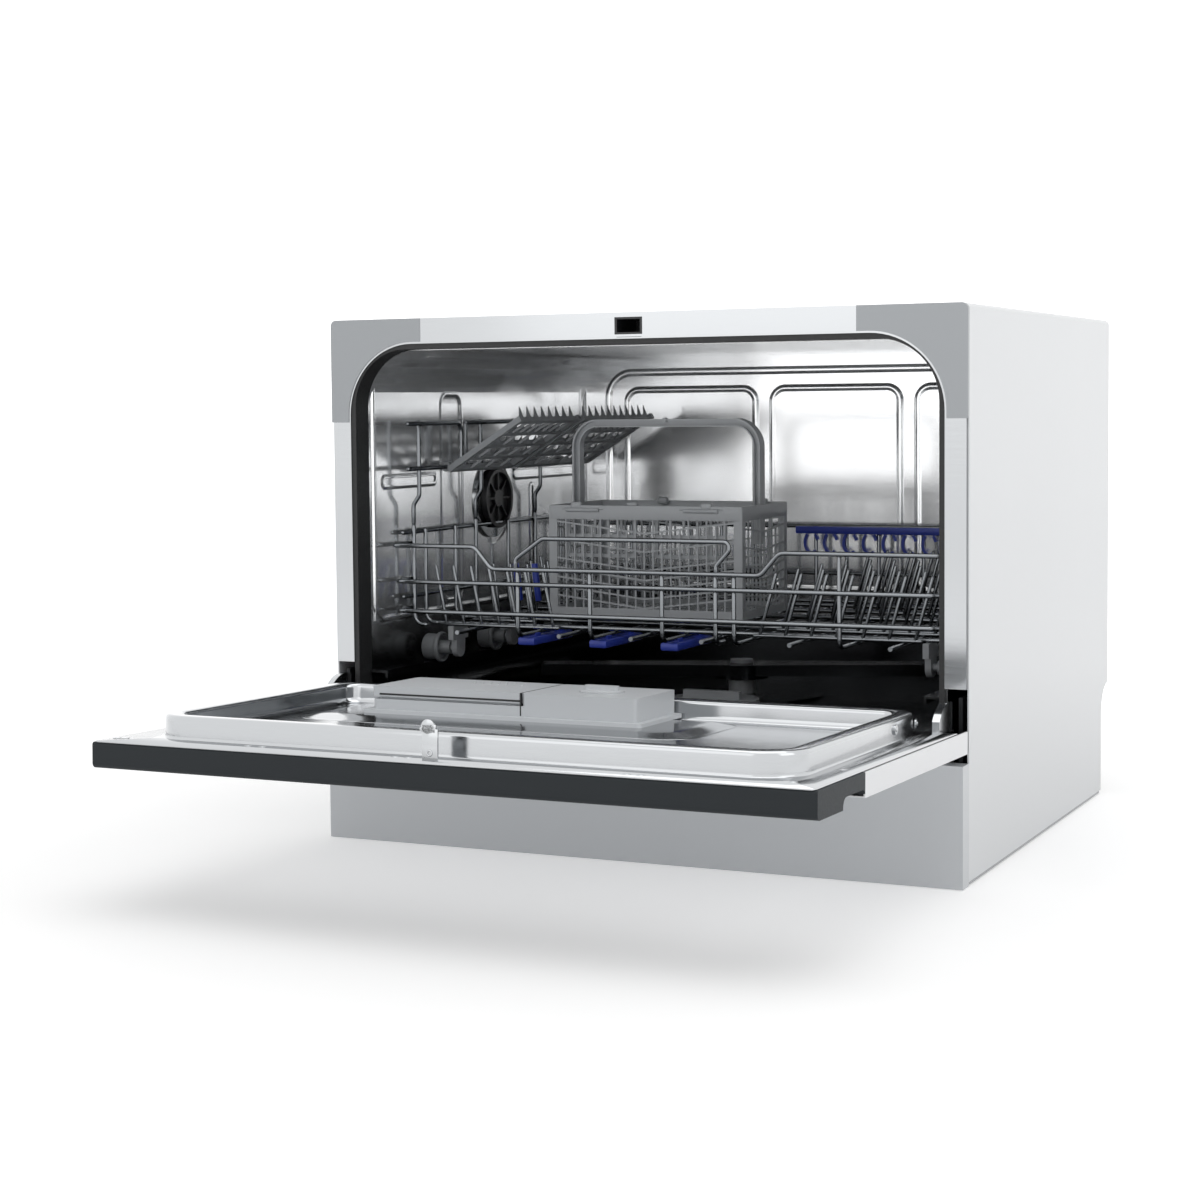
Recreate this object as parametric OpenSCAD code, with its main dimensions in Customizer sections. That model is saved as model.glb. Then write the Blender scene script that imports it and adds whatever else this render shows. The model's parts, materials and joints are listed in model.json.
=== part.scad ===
// Countertop dishwasher with a drop-down door, a pull-out wire basket and a cutlery basket.
// X runs to the right, Y to the back and Z up. The origin is on the standing surface, under the
// middle of the front frame. The door is drawn open and the basket is drawn inside the tub.

/* [Cabinet] */
// Overall width of the cabinet
cabinet_width = 550; // [540:1:600]
// Overall height of the cabinet
cabinet_height = 438; // [430:1:470]
// Depth from the front frame to the rear panel
cabinet_depth = 480; // [475:1:530]
// Thickness of the painted casing sheet
casing_sheet = 1.2; // [0.8:0.1:1.5]
// Height of the front plinth
plinth_height = 93; // [80:1:93]
// How far the plinth stands in front of the frame
plinth_forward = 13.3; // [10:0.1:16]
// Depth of the recess low on the rear side
recess_depth = 26.5; // [20:0.5:30]

/* [Tub] */
// Gap from the outside of the cabinet to the inside of the tub, at each side
tub_side_gap = 21; // [21:0.5:24]
// Gap from the top of the cabinet down to the tub ceiling
tub_top_gap = 26; // [26:0.5:30]
// Gap from the rear panel to the back wall of the tub
tub_rear_gap = 25; // [22:0.5:40]
// Height of the tub floor
tub_floor = 104; // [103:0.5:106]
// Thickness of the tub sheet
tub_sheet = 1.2; // [0.8:0.1:1.6]
// Radius of the upper corners of the mouth
mouth_corner = 60; // [50:1:62]
// Radius of the upper corners of the tub
tub_corner = 45; // [40:1:50]

/* [Door] */
// Height of the hinge axis
hinge_height = 108; // [108:0.5:110]
// Distance of the hinge axis in front of the frame
hinge_forward = 12; // [12:0.1:13]
// Angle by which the open door rises to its front edge, in degrees
door_tilt = 1.4; // [0.8:0.1:2]
// Length of the dark control fascia along the door
fascia_length = 94; // [85:1:96]
// Length of the finger groove under the fascia
groove_length = 45; // [35:1:48]
// Height of the raised ring on the inner door sheet
liner_rise = 18; // [16:0.5:18.4]
// Width of the dispenser block
dispenser_width = 226; // [210:1:232]

/* [Basket] */
// Diameter of the frame wires
wire = 4; // [3.6:0.1:4.4]
// Diameter of the tines
tine_wire = 3.2; // [2.8:0.1:3.4]
// Clear space between the basket wires and the tub wall, at each side
basket_clear = 4.5; // [3:0.5:6]
// Clear space behind the basket when it is pushed in
basket_rear_clear = 17; // [14:0.5:26]
// Distance of the front wires behind the frame, with the basket pushed in
basket_front = 48; // [47:0.5:52]
// Radius of the running tread of the wheels
wheel_radius = 11.5; // [10:0.1:11.7]
// Diameter of the wheel axles
axle = 6; // [5:0.1:7]
// Angle at which the cup shelves rest, in degrees
shelf_angle = 32; // [30:1:35]
// Width of a cup shelf
shelf_width = 88; // [80:1:90]

/* [Cutlery basket] */
// Width of the cutlery basket
cutlery_width = 180; // [160:1:184]
// Depth of the cutlery basket
cutlery_depth = 110; // [90:1:114]
// Height of the cutlery basket
cutlery_height = 96; // [80:1:100]
// Wall thickness of the cutlery basket
cutlery_wall = 1.8; // [1.5:0.1:2.2]

/* [Spray and filter] */
// Length of the spray arm from tip to tip
arm_span = 360; // [300:1:370]
// Radius of the filter cylinder
filter_radius = 38; // [32:0.5:40]

/* [Hidden] */
$fn = 48;
// Gap of a part that turns on a pin, taken on the radius
run_gap = 0.05;
// Gap of a part that fits in an opening without turning
fit_gap = 0.1;
// Gap at a rest stop
stop_gap = 0.05;
// Width of a seam between two sheets of one node
seam = 0.03;
half = cabinet_width / 2;
top = cabinet_height;
back = cabinet_depth;
inner = half - casing_sheet;
tub_half = half - tub_side_gap;
tub_top = top - tub_top_gap;
tub_back = back - tub_rear_gap;
corner = 5;
frame_sheet = 1;
trim_depth = 0.7;
casing_front = 3;

// Mouth of the cabinet, its lip and its seal
mouth_half = half - 17;
mouth_top = top - 20;
lip = 1;
seal_front = 1;
seal_back = 22;
seal_thick = 4.4;
seal_corner = mouth_corner - 12;
sweep_clear = 5;
slot_top = 149;

// Sizes of the open door, measured from the hinge axis along the door and up from it
door_length = top - hinge_height - 2;
skin_face = 7;
flange_top = 11;
flange_sheet = 1;
flange_half = half - 1.6;
ring_start = 20;
ring_end = door_length - 30;
ring_half = half - 26;
ring_width = 13.8;
ring_far_corner = 32;
ring_near_corner = 25;
ring_top = flange_top + liner_rise;
pan = flange_top + 1;
fascia_start = door_length - fascia_length;
striker_at = top - 11 - hinge_height;
latch_half = 10;

// Basket sizes. Places along the basket are counted from its front wires.
basket_half = tub_half - basket_clear - wire / 2;
basket_back = tub_back - basket_rear_clear - wire / 2;
basket_length = basket_back - basket_front;
upright_in = wire - 0.5;
rail_z = 140.2;
floor_z = 170.5;
cross_z = floor_z + upright_in;
low_z = 189;
mid_z = 214.5;
high_z = 245.5;
wheel_axis_z = rail_z + 0.3 + wheel_radius;
sleeve_gap = 0.1;

// Plain helpers

module box(x0, x1, y0, y1, z0, z1) {
    translate([x0, y0, z0]) cube([x1 - x0, y1 - y0, z1 - z0]);
}

// Flat outline drawn in X and Z, given a thickness along Y
module slab_y(y0, y1) {
    translate([0, y1, 0]) rotate([90, 0, 0]) linear_extrude(y1 - y0) children();
}

// Flat outline drawn in Y and Z, given a thickness along X
module slab_x(x0, x1) {
    translate([x0, 0, 0]) rotate([90, 0, 90]) linear_extrude(x1 - x0) children();
}

// Flat outline drawn in X and Y, given a thickness along Z
module slab_z(z0, z1) {
    translate([0, 0, z0]) linear_extrude(z1 - z0) children();
}

module both() {
    children();
    mirror([1, 0, 0]) children();
}

module area(x0, x1, y0, y1) {
    translate([x0, y0]) square([x1 - x0, y1 - y0]);
}

// Rectangle with one radius for its two low corners and one for its two high corners
module panel(x0, x1, y0, y1, low, high) {
    area(x0 + low, x1 - low, y0, y0 + low + 1);
    area(x0, x1, y0 + low, y1 - high);
    area(x0 + high, x1 - high, y1 - high - 1, y1);
    if (low > 0) for (x = [x0 + low, x1 - low]) translate([x, y0 + low]) circle(low);
    if (high > 0) for (x = [x0 + high, x1 - high]) translate([x, y1 - high]) circle(high);
}

module disc_x(x0, x1, y, z, r) {
    translate([x0, y, z]) rotate([0, 90, 0]) cylinder(h = x1 - x0, r = r);
}

module disc_y(y0, y1, x, z, r) {
    translate([x, y1, z]) rotate([90, 0, 0]) cylinder(h = y1 - y0, r = r);
}

module disc_z(z0, z1, x, y, r) {
    translate([x, y, z0]) cylinder(h = z1 - z0, r = r);
}

// Bent wires

function unit(v) = v / norm(v);
function turn(a, b, c) = acos(max(-1, min(1, unit(b - a) * unit(c - b))));
function trim(a, b, c, r) = r * tan(turn(a, b, c) / 2);

module rod(p, q, d) {
    v = q - p;
    translate(p)
        rotate([0, acos(max(-1, min(1, v[2] / norm(v)))), atan2(v[1], v[0])])
            cylinder(h = norm(v), d = d, $fn = 20);
}

// A bend between slanting runs is drawn a hair thicker, so that the runs end inside it
function slanting(v) = max([for (k = v) abs(k)]) < 0.9999;
function slants(a, b, c) = slanting(unit(b - a)) || slanting(unit(c - b));
function lap(a, b, c) = slants(a, b, c) ? 0.2 : 0;

module bend(a, b, c, size, r) {
    d = slants(a, b, c) ? size + 0.02 : size;
    u = unit(b - a);
    v = unit(c - b);
    t = turn(a, b, c);
    m = b + unit(v - u) * r / cos(t / 2);
    e = unit(b - u * r * tan(t / 2) - m);
    n = cross(e, u);
    multmatrix([
        [e[0], u[0], n[0], m[0]],
        [e[1], u[1], n[1], m[1]],
        [e[2], u[2], n[2], m[2]],
        [0, 0, 0, 1]
    ])
        rotate_extrude(angle = t) translate([r, 0]) circle(d = d, $fn = 20);
}

// A wire through the given points, with every corner bent to the radius r
module bent(pts, d, r) {
    last = len(pts) - 1;
    for (i = [0 : last - 1]) {
        u = unit(pts[i + 1] - pts[i]);
        s = i == 0 ? 0 : trim(pts[i - 1], pts[i], pts[i + 1], r) - lap(pts[i - 1], pts[i], pts[i + 1]);
        e = i == last - 1 ? 0 : trim(pts[i], pts[i + 1], pts[i + 2], r) - lap(pts[i], pts[i + 1], pts[i + 2]);
        rod(pts[i] + u * s, pts[i + 1] - u * e, d);
    }
    if (last > 1) for (i = [1 : last - 1]) bend(pts[i - 1], pts[i], pts[i + 1], d, r);
}

// Cabinet

// Side outline of the cabinet, with the recess low on the rear side
module side_outline(y0, z0) {
    low = back - recess_depth;
    difference() {
        area(y0, back, z0, top);
        translate([back, z0 - 1]) mirror([1, 0]) square([recess_depth, 75 - z0]);
        translate([back, 74]) circle(recess_depth);
    }
}

module cabinet_outline(r) {
    panel(-half, half, 0, top, 0, r);
}

module outer_casing() {
    color("white")
    intersection() {
        slab_y(casing_front, back) difference() {
            cabinet_outline(corner);
            panel(-inner, inner, -1, top - casing_sheet, 0, corner - casing_sheet);
        }
        slab_x(-half, half) side_outline(casing_front, 3);
    }
}

// The rear sheet follows the side outline, with air slots high up and holes for the services
valve_x = 200;
drain_x = 140;
gland_x = -215;
service_z = 45;

module back_panel() {
    low = back - recess_depth;
    color("lightgray")
    difference() {
        slab_x(-inner + fit_gap / 2, inner - fit_gap / 2) {
            area(low - 1.2, low, 3, 74);
            area(back - 1.2, back, 74 + recess_depth, top - casing_sheet);
            difference() {
                translate([back, 74]) circle(recess_depth + 1.2);
                translate([back, 74]) circle(recess_depth);
                area(back - 60, back + 60, 0, 74);
                area(back, back + 60, 0, 200);
            }
        }
        for (x = [-204 : 24 : 204]) slab_y(back - 5, back + 5)
            panel(x - 2.5, x + 2.5, top - 90, top - 50, 2.4, 2.4);
        disc_y(low - 5, low + 5, valve_x, service_z, 13.4);
        disc_y(low - 5, low + 5, drain_x, service_z, 10.4);
        disc_y(low - 5, low + 5, gland_x, service_z, 8.2);
    }
}

foot_x = half - 45;
foot_y = [40, back - 70];
foot_radius = 14;

module base_tray() {
    edge = inner - fit_gap;
    rear = back - recess_depth - 1.3;
    color("gray")
    difference() {
        union() {
            box(-edge, edge, casing_front + fit_gap, rear, 0, 22);
            box(2.1 - half, half - 2.1, 2.1 - plinth_forward, casing_front + 1, 0, 2.5);
        }
        box(2 - edge, edge - 2, casing_front + fit_gap + 2, rear - 2, 2.5, 30);
        for (x = [-foot_x, foot_x], y = foot_y) disc_z(-1, 10, x, y, foot_radius + fit_gap);
    }
}

module feet() {
    color("dimgray")
    for (x = [-foot_x, foot_x], y = foot_y) {
        disc_z(0, 2.5, x, y, foot_radius);
        disc_z(2.5, 6, x, y, foot_radius + 4);
    }
}

module plinth_panel() {
    color("gainsboro")
    difference() {
        box(-half, half, -plinth_forward, casing_front - fit_gap, 0, plinth_height);
        box(2 - half, half - 2, 2 - plinth_forward, casing_front + 1, -1, plinth_height - 2);
    }
}

// Polished frame around the mouth, with the lip behind it and the sill under it
module front_frame() {
    side = inner - fit_gap;
    sill_top = tub_floor - tub_sheet;
    color("silver")
    difference() {
        union() {
            slab_y(0, frame_sheet) difference() {
                panel(-side, side, slot_top, top - casing_sheet - fit_gap, 0, corner - casing_sheet);
                panel(-mouth_half, mouth_half, 0, mouth_top, 0, mouth_corner);
            }
            slab_y(0, seal_back) difference() {
                panel(-mouth_half, mouth_half, sill_top - 40, mouth_top, 0, mouth_corner);
                panel(-mouth_half + lip, mouth_half - lip, 0, mouth_top - lip, 0, mouth_corner - lip);
            }
            slab_y(sweep_clear, sweep_clear + 1.2) area(-mouth_half, mouth_half, sill_top - 40, sill_top);
            both() box(side - 1, side, 0, 16, slot_top, top - 40);
        }
        box(-half, half, -1, sweep_clear, 0, slot_top);
        box(-latch_half - 2, latch_half + 2, -1, 5, top - 17.6, top - 3.9);
    }
}

module top_strip() {
    color("silver")
    difference() {
        box(-half + 86.5, half - 86.5, -0.6, 0, mouth_top + 0.5, top);
        box(-latch_half - 2, latch_half + 2, -1, 1, top - 17.6, top - 3.9);
    }
}

module corner_trims() {
    color("darkgray")
    both() difference() {
        slab_y(-trim_depth, casing_front - fit_gap) intersection() {
            cabinet_outline(corner);
            area(half - 86.4, half, top - 86, top);
        }
        slab_y(0, 10) panel(-inner, inner, 0, top - casing_sheet, 0, corner - casing_sheet);
        slab_y(-5, 5) panel(-mouth_half - 0.5, mouth_half + 0.5, 0, mouth_top + 0.5, 0, mouth_corner + 0.5);
    }
}

// Stainless tub, open to the front, with raised panels on its side and rear walls

sump_y = 245;
sump_radius = 60;
well_y = sump_y - 72;
well_radius = filter_radius + 14;
sump_wall = 2.5;
vent_y = 250;
vent_z = 276;
vent_radius = 35;

module sump_outline(extra) {
    translate([0, sump_y]) circle(sump_radius + extra);
    translate([0, well_y]) circle(well_radius + extra);
}

tub_foot = 20;

// Seams that part the floor, the sides, the roof, the rounded corners and the rear wall of the tub
module tub_seams() {
    y1 = tub_back + tub_sheet + 1;
    waist = tub_corner * (1 - cos(45));
    both() {
        box(tub_half - tub_foot, tub_half - tub_foot + seam, 0, y1, tub_floor - 3, tub_floor + 2);
        box(tub_half - tub_corner, tub_half - tub_corner + seam, 0, y1, tub_top - 2, tub_top + 3);
        box(tub_half - waist, tub_half - waist + seam, 0, y1, tub_top - tub_corner, tub_top + 3);
        for (z = [tub_floor + tub_foot, tub_top - tub_corner]) box(tub_half - 2, tub_half + 3, 0, y1, z, z + seam);
    }
    slab_y(tub_back - 2, y1) difference() {
        panel(-tub_half, tub_half, tub_floor, tub_top, tub_foot, tub_corner);
        panel(seam - tub_half, tub_half - seam, tub_floor + seam, tub_top - seam, tub_foot - seam, tub_corner - seam);
    }
}

module tub() {
    color("lightgray")
    difference() {
        union() {
            slab_y(seal_back, tub_back + tub_sheet) difference() {
                panel(-tub_half - tub_sheet, tub_half + tub_sheet, tub_floor - tub_sheet, tub_top + tub_sheet,
                    tub_foot + tub_sheet, tub_corner + tub_sheet);
                panel(-tub_half, tub_half, tub_floor, tub_top, tub_foot, tub_corner);
            }
            slab_y(tub_back, tub_back + tub_sheet)
                panel(-tub_half, tub_half, tub_floor, tub_top, tub_foot, tub_corner);
            box(tub_foot - tub_half, tub_half - tub_foot, sweep_clear, seal_back, tub_floor - tub_sheet, tub_floor);
            both() difference() {
                box(tub_half - 1.2, tub_half, 30, tub_back - 6, 181, top - 45);
                box(tub_half - 2, tub_half + 1, 152, 189, 190, top - 63);
                disc_x(tub_half - 2, tub_half + 1, vent_y, vent_z, vent_radius + 6);
            }
            slab_y(tub_back - 1.2, tub_back) {
                panel(-204, -64, 182, top - 58, 12, 12);
                panel(-48, 83, 182, top - 58, 12, 12);
                panel(99, 230, 182, top - 58, 12, 12);
            }
        }
        slab_z(tub_floor - 5, tub_floor + 5) sump_outline(0);
        disc_x(-tub_half - 5, -tub_half + 5, vent_y, vent_z, 28);
        tub_seams();
    }
}

// Two rails for the wheels, each a lip that stands off the side wall
rail_inner = tub_half - 18.5;

module wheel_rails() {
    color("silver")
    both() {
        box(rail_inner, tub_half - 1, 18.5, tub_back - 15, rail_z - 2, rail_z);
        box(rail_inner, rail_inner + 2, 18.5, tub_back - 15, rail_z - 6, rail_z - 2);
        for (y = [60, 170, 280, 390]) box(rail_inner, tub_half - 2, y, y + 12, rail_z - 6, rail_z - 2);
    }
}

module door_seals() {
    outer = mouth_half - lip;
    peak = mouth_top - lip;
    r = mouth_corner - lip;
    color("black") {
        difference() {
            slab_y(seal_front, seal_back) difference() {
                panel(-outer, outer, tub_floor + 2, peak, 0, r);
                panel(seal_thick - outer, outer - seal_thick, 0, peak - seal_thick, 0, seal_corner);
            }
            box(-half, half, 0, sweep_clear, 0, 130);
        }
        box(seal_thick - outer, outer - seal_thick, sweep_clear, sweep_clear + 9, tub_floor, tub_floor + 2);
        both() box(outer - seal_thick, outer, sweep_clear, seal_back, tub_floor, tub_floor + 2);
    }
}

// Lock housing behind the frame. The striker of the door enters through its throat.
module door_lock() {
    z0 = top - 18.5;
    z1 = top - 1.5;
    color("dimgray")
    difference() {
        union() {
            box(-24, 24, frame_sheet, 46, z0, z1);
            box(-latch_half - 1.9, latch_half + 1.9, -0.6, 4, top - 17.5, top - 4);
        }
        box(-latch_half, latch_half, -2, 38, top - 16, top - 5.5);
    }
}

// Round vent on the left wall and the air duct behind it
module vent_cap() {
    duct_out = -inner + 1;
    wall = -tub_half - tub_sheet;
    color("silver") {
        difference() {
            disc_x(-tub_half, 3.2 - tub_half, vent_y, vent_z, vent_radius);
            disc_x(-tub_half - 1, 1.6 - tub_half, vent_y, vent_z, 26);
            for (z = [-18 : 6 : 18]) box(-tub_half, 10 - tub_half, vent_y - 20, vent_y + 20,
                vent_z + z - 1, vent_z + z + 1);
        }
        difference() {
            disc_x(wall - 1, -tub_half, vent_y, vent_z, 27.8);
            disc_x(wall - 5, 1 - tub_half, vent_y, vent_z, 25);
        }
        difference() {
            box(duct_out, wall, vent_y - 50, vent_y + 50, vent_z - 45, top - 40);
            box(duct_out + 2, wall - 2, vent_y - 48, vent_y + 48, vent_z - 43, top - 42);
            disc_x(wall - 5, wall + 1, vent_y, vent_z, 25);
        }
    }
}

// Water side below the tub

hub_top = tub_floor + 15.5;
hub_radius = 12;
pin_radius = 6;
arm_thick = 13;
pipe_z = 52;

module sump() {
    floor_low = 30;
    rim = tub_floor - tub_sheet;
    color("darkgray") {
        difference() {
            union() {
                slab_z(floor_low, rim) sump_outline(sump_wall);
                slab_z(rim - 3, rim) sump_outline(10);
                box(-sump_radius - 8, sump_radius + 8, sump_y - 20, sump_y + 20, pipe_z - 20, pipe_z + 20);
            }
            slab_z(floor_low + 3, rim + 1) sump_outline(0);
            disc_x(-sump_radius - 20, 0, sump_y, pipe_z, 11);
            disc_x(0, sump_radius + 20, sump_y, pipe_z, 8);
        }
        disc_z(floor_low, hub_top - 1, 0, sump_y, hub_radius);
        disc_z(floor_low, hub_top + arm_thick + 0.6, 0, sump_y, pin_radius);
        disc_z(hub_top + arm_thick + 0.4, hub_top + arm_thick + 3.5, 0, sump_y, pin_radius + 4);
        for (y = [well_y - 30, sump_y + 30]) disc_z(2.5, floor_low, 0, y, 9);
    }
}

module filter_plate() {
    color("silver")
    difference() {
        slab_z(tub_floor, tub_floor + 2) sump_outline(14);
        disc_z(0, 200, 0, sump_y, hub_radius + 0.4);
        disc_z(0, 200, 0, well_y, filter_radius + 0.4);
        for (ring = [0 : 3], a = [0 : 18 : 342]) {
            r = 22 + ring * 9;
            x = r * cos(a);
            y = sump_y + r * sin(a);
            if (norm([x, y - well_y]) > filter_radius + 6) disc_z(0, 200, x, y, 1.6);
        }
    }
}

module filter_cylinder() {
    low = tub_floor - 44;
    color("darkgray")
    difference() {
        union() {
            disc_z(low, tub_floor + 4, 0, well_y, filter_radius);
            disc_z(tub_floor + 2.1, tub_floor + 5, 0, well_y, filter_radius + 3);
            box(-26, 26, well_y - 3, well_y + 3, tub_floor + 4, tub_floor + 12);
        }
        disc_z(low + 2, tub_floor + 1, 0, well_y, filter_radius - 2);
        for (z = [low + 6 : 8 : low + 30]) box(-60, 60, well_y - 16, well_y + 16, z, z + 3);
    }
}

module spray_arm() {
    z0 = hub_top;
    z1 = hub_top + arm_thick;
    reach = arm_span / 2;
    color("lightgray")
    translate([0, sump_y, 0]) rotate([0, 0, 20])
    difference() {
        union() {
            disc_z(z0, z1, 0, 0, 24);
            slab_z(z0 + 3, z1) difference() {
                intersection() {
                    translate([0, 0]) circle(reach);
                    polygon([[-reach, -13], [0, -21], [reach, -13], [reach, 13], [0, 21], [-reach, 13]]);
                }
                circle(10);
            }
        }
        disc_z(0, 200, 0, 0, pin_radius + run_gap);
        disc_z(0, z0 + 1.2, 0, 0, hub_radius + 0.6);
        for (x = [40 : 26 : reach - 12], s = [-1, 1]) disc_z(z1 - 4, z1 + 1, s * x, s * 5, 1.8);
    }
}

module wash_pump() {
    x = -sump_radius - 8;
    color("dimgray") {
        disc_x(x - 26, x, sump_y, pipe_z, 11);
        disc_x(x - 46, x - 26, sump_y, pipe_z, 42);
        disc_x(x - 120, x - 46, sump_y, pipe_z, 34);
        disc_x(x - 128, x - 120, sump_y, pipe_z, 20);
        box(x - 110, x - 56, sump_y - 20, sump_y + 20, 2.5, pipe_z - 20);
    }
}

module drain_pump() {
    x = sump_radius + 8;
    color("dimgray") {
        disc_x(x, x + 16, sump_y, pipe_z, 8);
        disc_x(x + 16, x + 30, sump_y, pipe_z, 27);
        disc_x(x + 30, x + 72, sump_y, pipe_z, 21);
        box(x + 36, x + 66, sump_y - 12, sump_y + 12, 2.5, pipe_z - 10);
    }
}

module inlet_valve() {
    low = back - recess_depth;
    color("ivory")
    difference() {
        union() {
            disc_y(low - 1.3, low + 0.5, valve_x, service_z, 12);
            disc_y(low + 0.3, low + 14, valve_x, service_z, 13);
            box(valve_x - 20, valve_x + 20, low - 34, low - 1.2, service_z - 18, service_z + 18);
            box(valve_x - 14, valve_x + 14, low - 30, low - 6, 2.5, service_z - 18);
            disc_z(service_z + 18, service_z + 40, valve_x, low - 18, 12);
        }
        disc_y(low - 8, low + 20, valve_x, service_z, 9);
    }
}

module drain_port() {
    low = back - recess_depth;
    color("dimgray")
    difference() {
        union() {
            disc_y(low - 1.3, low + 0.5, drain_x, service_z, 9);
            disc_y(low + 0.3, low + 22, drain_x, service_z, 10);
            box(drain_x - 16, drain_x + 16, low - 14, low - 1.2, service_z - 16, service_z + 16);
            box(drain_x - 8, drain_x + 8, low - 12, low - 4, 2.5, service_z - 16);
        }
        disc_y(low - 8, low + 30, drain_x, service_z, 7);
    }
}

module cord_gland() {
    low = back - recess_depth;
    color("black")
    difference() {
        union() {
            disc_y(low, low + 6, gland_x, service_z, 12);
            disc_y(low, low + 16, gland_x, service_z, 8);
            disc_y(low - 7, low, gland_x, service_z, 8);
            disc_y(low - 6, low - 1.2, gland_x, service_z, 12);
        }
        disc_y(low - 20, low + 30, gland_x, service_z, 4.2);
    }
}

// Door. Its modules draw along X, then along the door from the hinge, then up from its axis plane.

hinge_pin = 3;
bracket_x = half - 9;
neck = 5;

module on_door() {
    translate([0, -hinge_forward, hinge_height]) rotate([-door_tilt, 0, 0]) children();
}

module dbox(x0, x1, s0, s1, n0, n1) {
    box(x0, x1, -s1, -s0, n0, n1);
}

module dpin(x, s, n0, n1, r) {
    disc_z(n0, n1, x, -s, r);
}

// Rounded outline in the plane of the door, given a thickness from n0 to n1
module dslab(n0, n1, x0, x1, s0, s1, r) {
    slab_z(n0, n1) panel(x0, x1, -s1, -s0, r, r);
}

module hinge_brackets() {
    color("silver")
    both() {
        slab_x(bracket_x, bracket_x + 3) {
            translate([-hinge_forward, hinge_height]) circle(neck);
            area(-hinge_forward, 10, hinge_height - neck, hinge_height + neck);
            area(7, 52, 2.5, 142);
        }
        box(bracket_x - 14, bracket_x, 7, 52, 2.5, 5);
        disc_x(half - 17, half - 3.5, -hinge_forward, hinge_height, hinge_pin);
    }
}

module door_panel() {
    color("white")
    on_door() difference() {
        dbox(-half, half, -flange_top, fascia_start, -skin_face, flange_top - flange_sheet);
        dbox(casing_sheet - half, half - casing_sheet, -20, fascia_start + 1, 1 - skin_face, 20);
    }
}

button_x = [-96, -48, 96, 144];
button_s = door_length - 24;
button_radius = 7;
button_travel = 1.5;
window_x = 30;

module control_fascia() {
    face = -9;
    ceiling = flange_top - flange_sheet;
    s1 = door_length;
    groove_end = fascia_start + groove_length;
    color("darkslategray")
    on_door() difference() {
        slab_x(-half, half) difference() {
            union() {
                area(-s1 + 4, -fascia_start, face, ceiling);
                area(-s1, -s1 + 5, face + 4, ceiling - 2);
                area(-s1 + 2, -s1 + 5, ceiling - 3, ceiling);
                translate([-s1 + 4, face + 4]) circle(4);
                translate([-s1 + 2, ceiling - 2]) circle(2);
            }
            panel(-groove_end, 1 - fascia_start, face - 9, face + 8, 0, 7);
        }
        dbox(2.5 - half, half - 2.5, groove_end + 2.5, s1 - 3, face + 2.5, ceiling - 2.5);
        dbox(2.5 - half, half - 2.5, fascia_start + 3, groove_end + 3, face + 10.5, ceiling - 2.5);
        striker_slot();
        for (x = button_x) dpin(x, button_s, face - 1, face + 4, button_radius + 0.2);
        dbox(window_x - 42, window_x + 42, button_s - 12, button_s + 12, face - 1, face + 4);
    }
}

// Inner door sheet: a flat flange, a raised ring, a sunken pan and a low plateau for the dispenser
dispenser_x0 = 58 - dispenser_width;
dispenser_x1 = 58;
dispenser_s0 = 36;
dispenser_s1 = 112;
plateau = 15;

// Outline of the ring, moved inwards by inset, with a thickness from n0 to n1
module ring_slab(n0, n1, inset) {
    slab_z(n0, n1) panel(inset - ring_half, ring_half - inset, inset - ring_end, -ring_start - inset,
        ring_far_corner - inset, ring_near_corner - inset);
}

// Seams that part the bars of the ring, its corners, the flange and the pan
module liner_seams() {
    under = flange_top - 2;
    over = ring_top + 1;
    near = ring_start + ring_near_corner;
    far = ring_end - ring_far_corner;
    mid = seam / 2;
    wall = ring_width + 3 * mid;
    difference() {
        ring_slab(under, pan + 4, ring_width + seam);
        ring_slab(under - 1, pan + 5, ring_width + 2 * seam);
    }
    difference() {
        ring_slab(under, flange_top + 0.5, -seam);
        ring_slab(under - 1, flange_top + 1, 0);
    }
    both() {
        dbox(ring_half - ring_near_corner - mid, ring_half - ring_near_corner + mid,
            ring_start - mid, ring_start + wall, under, over);
        dbox(ring_half - ring_far_corner - mid, ring_half - ring_far_corner + mid,
            ring_end - wall, ring_end + mid, under, over);
        for (s = [near, far]) dbox(ring_half - wall, ring_half + mid, s - mid, s + mid, under, over);
        dbox(ring_half - ring_near_corner + 9, half, ring_start + 2, ring_start + 2 + seam, under, flange_top + 0.5);
        dbox(ring_half - ring_far_corner + 10, half, ring_end - 2 - seam, ring_end - 2, under, flange_top + 0.5);
    }
}

module door_liner() {
    pan_s0 = ring_start + ring_width;
    color("silver")
    on_door() difference() {
        union() {
            difference() {
                union() {
                    dbox(-flange_half, flange_half, -flange_top, door_length, flange_top - flange_sheet, flange_top);
                    ring_slab(flange_top, ring_top, 0);
                }
                ring_slab(flange_top - 5, ring_top - 1, 1);
                ring_slab(ring_top - 2, ring_top + 1, ring_width);
                both() dbox(bracket_x - 1.5, bracket_x + 4.5, -20, 9, 0, 20);
                striker_slot();
            }
            ring_slab(pan - 1, pan, ring_width - 0.5);
            difference() {
                ring_slab(pan - 1, ring_top, ring_width - 1);
                ring_slab(pan - 2, ring_top + 1, ring_width);
            }
            difference() {
                ring_slab(flange_top - flange_sheet, flange_top, 0);
                ring_slab(5, 20, 1);
            }
            translate([0, -pan_s0, 0]) rotate([90, 0, 0]) linear_extrude(dispenser_s1 + 16 - pan_s0)
                polygon([
                    [dispenser_x0 - 50, pan - 0.5], [dispenser_x1 + 52, pan - 0.5],
                    [dispenser_x1 + 32, plateau], [dispenser_x0 - 30, plateau]
                ]);
        }
        liner_seams();
    }
}

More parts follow.
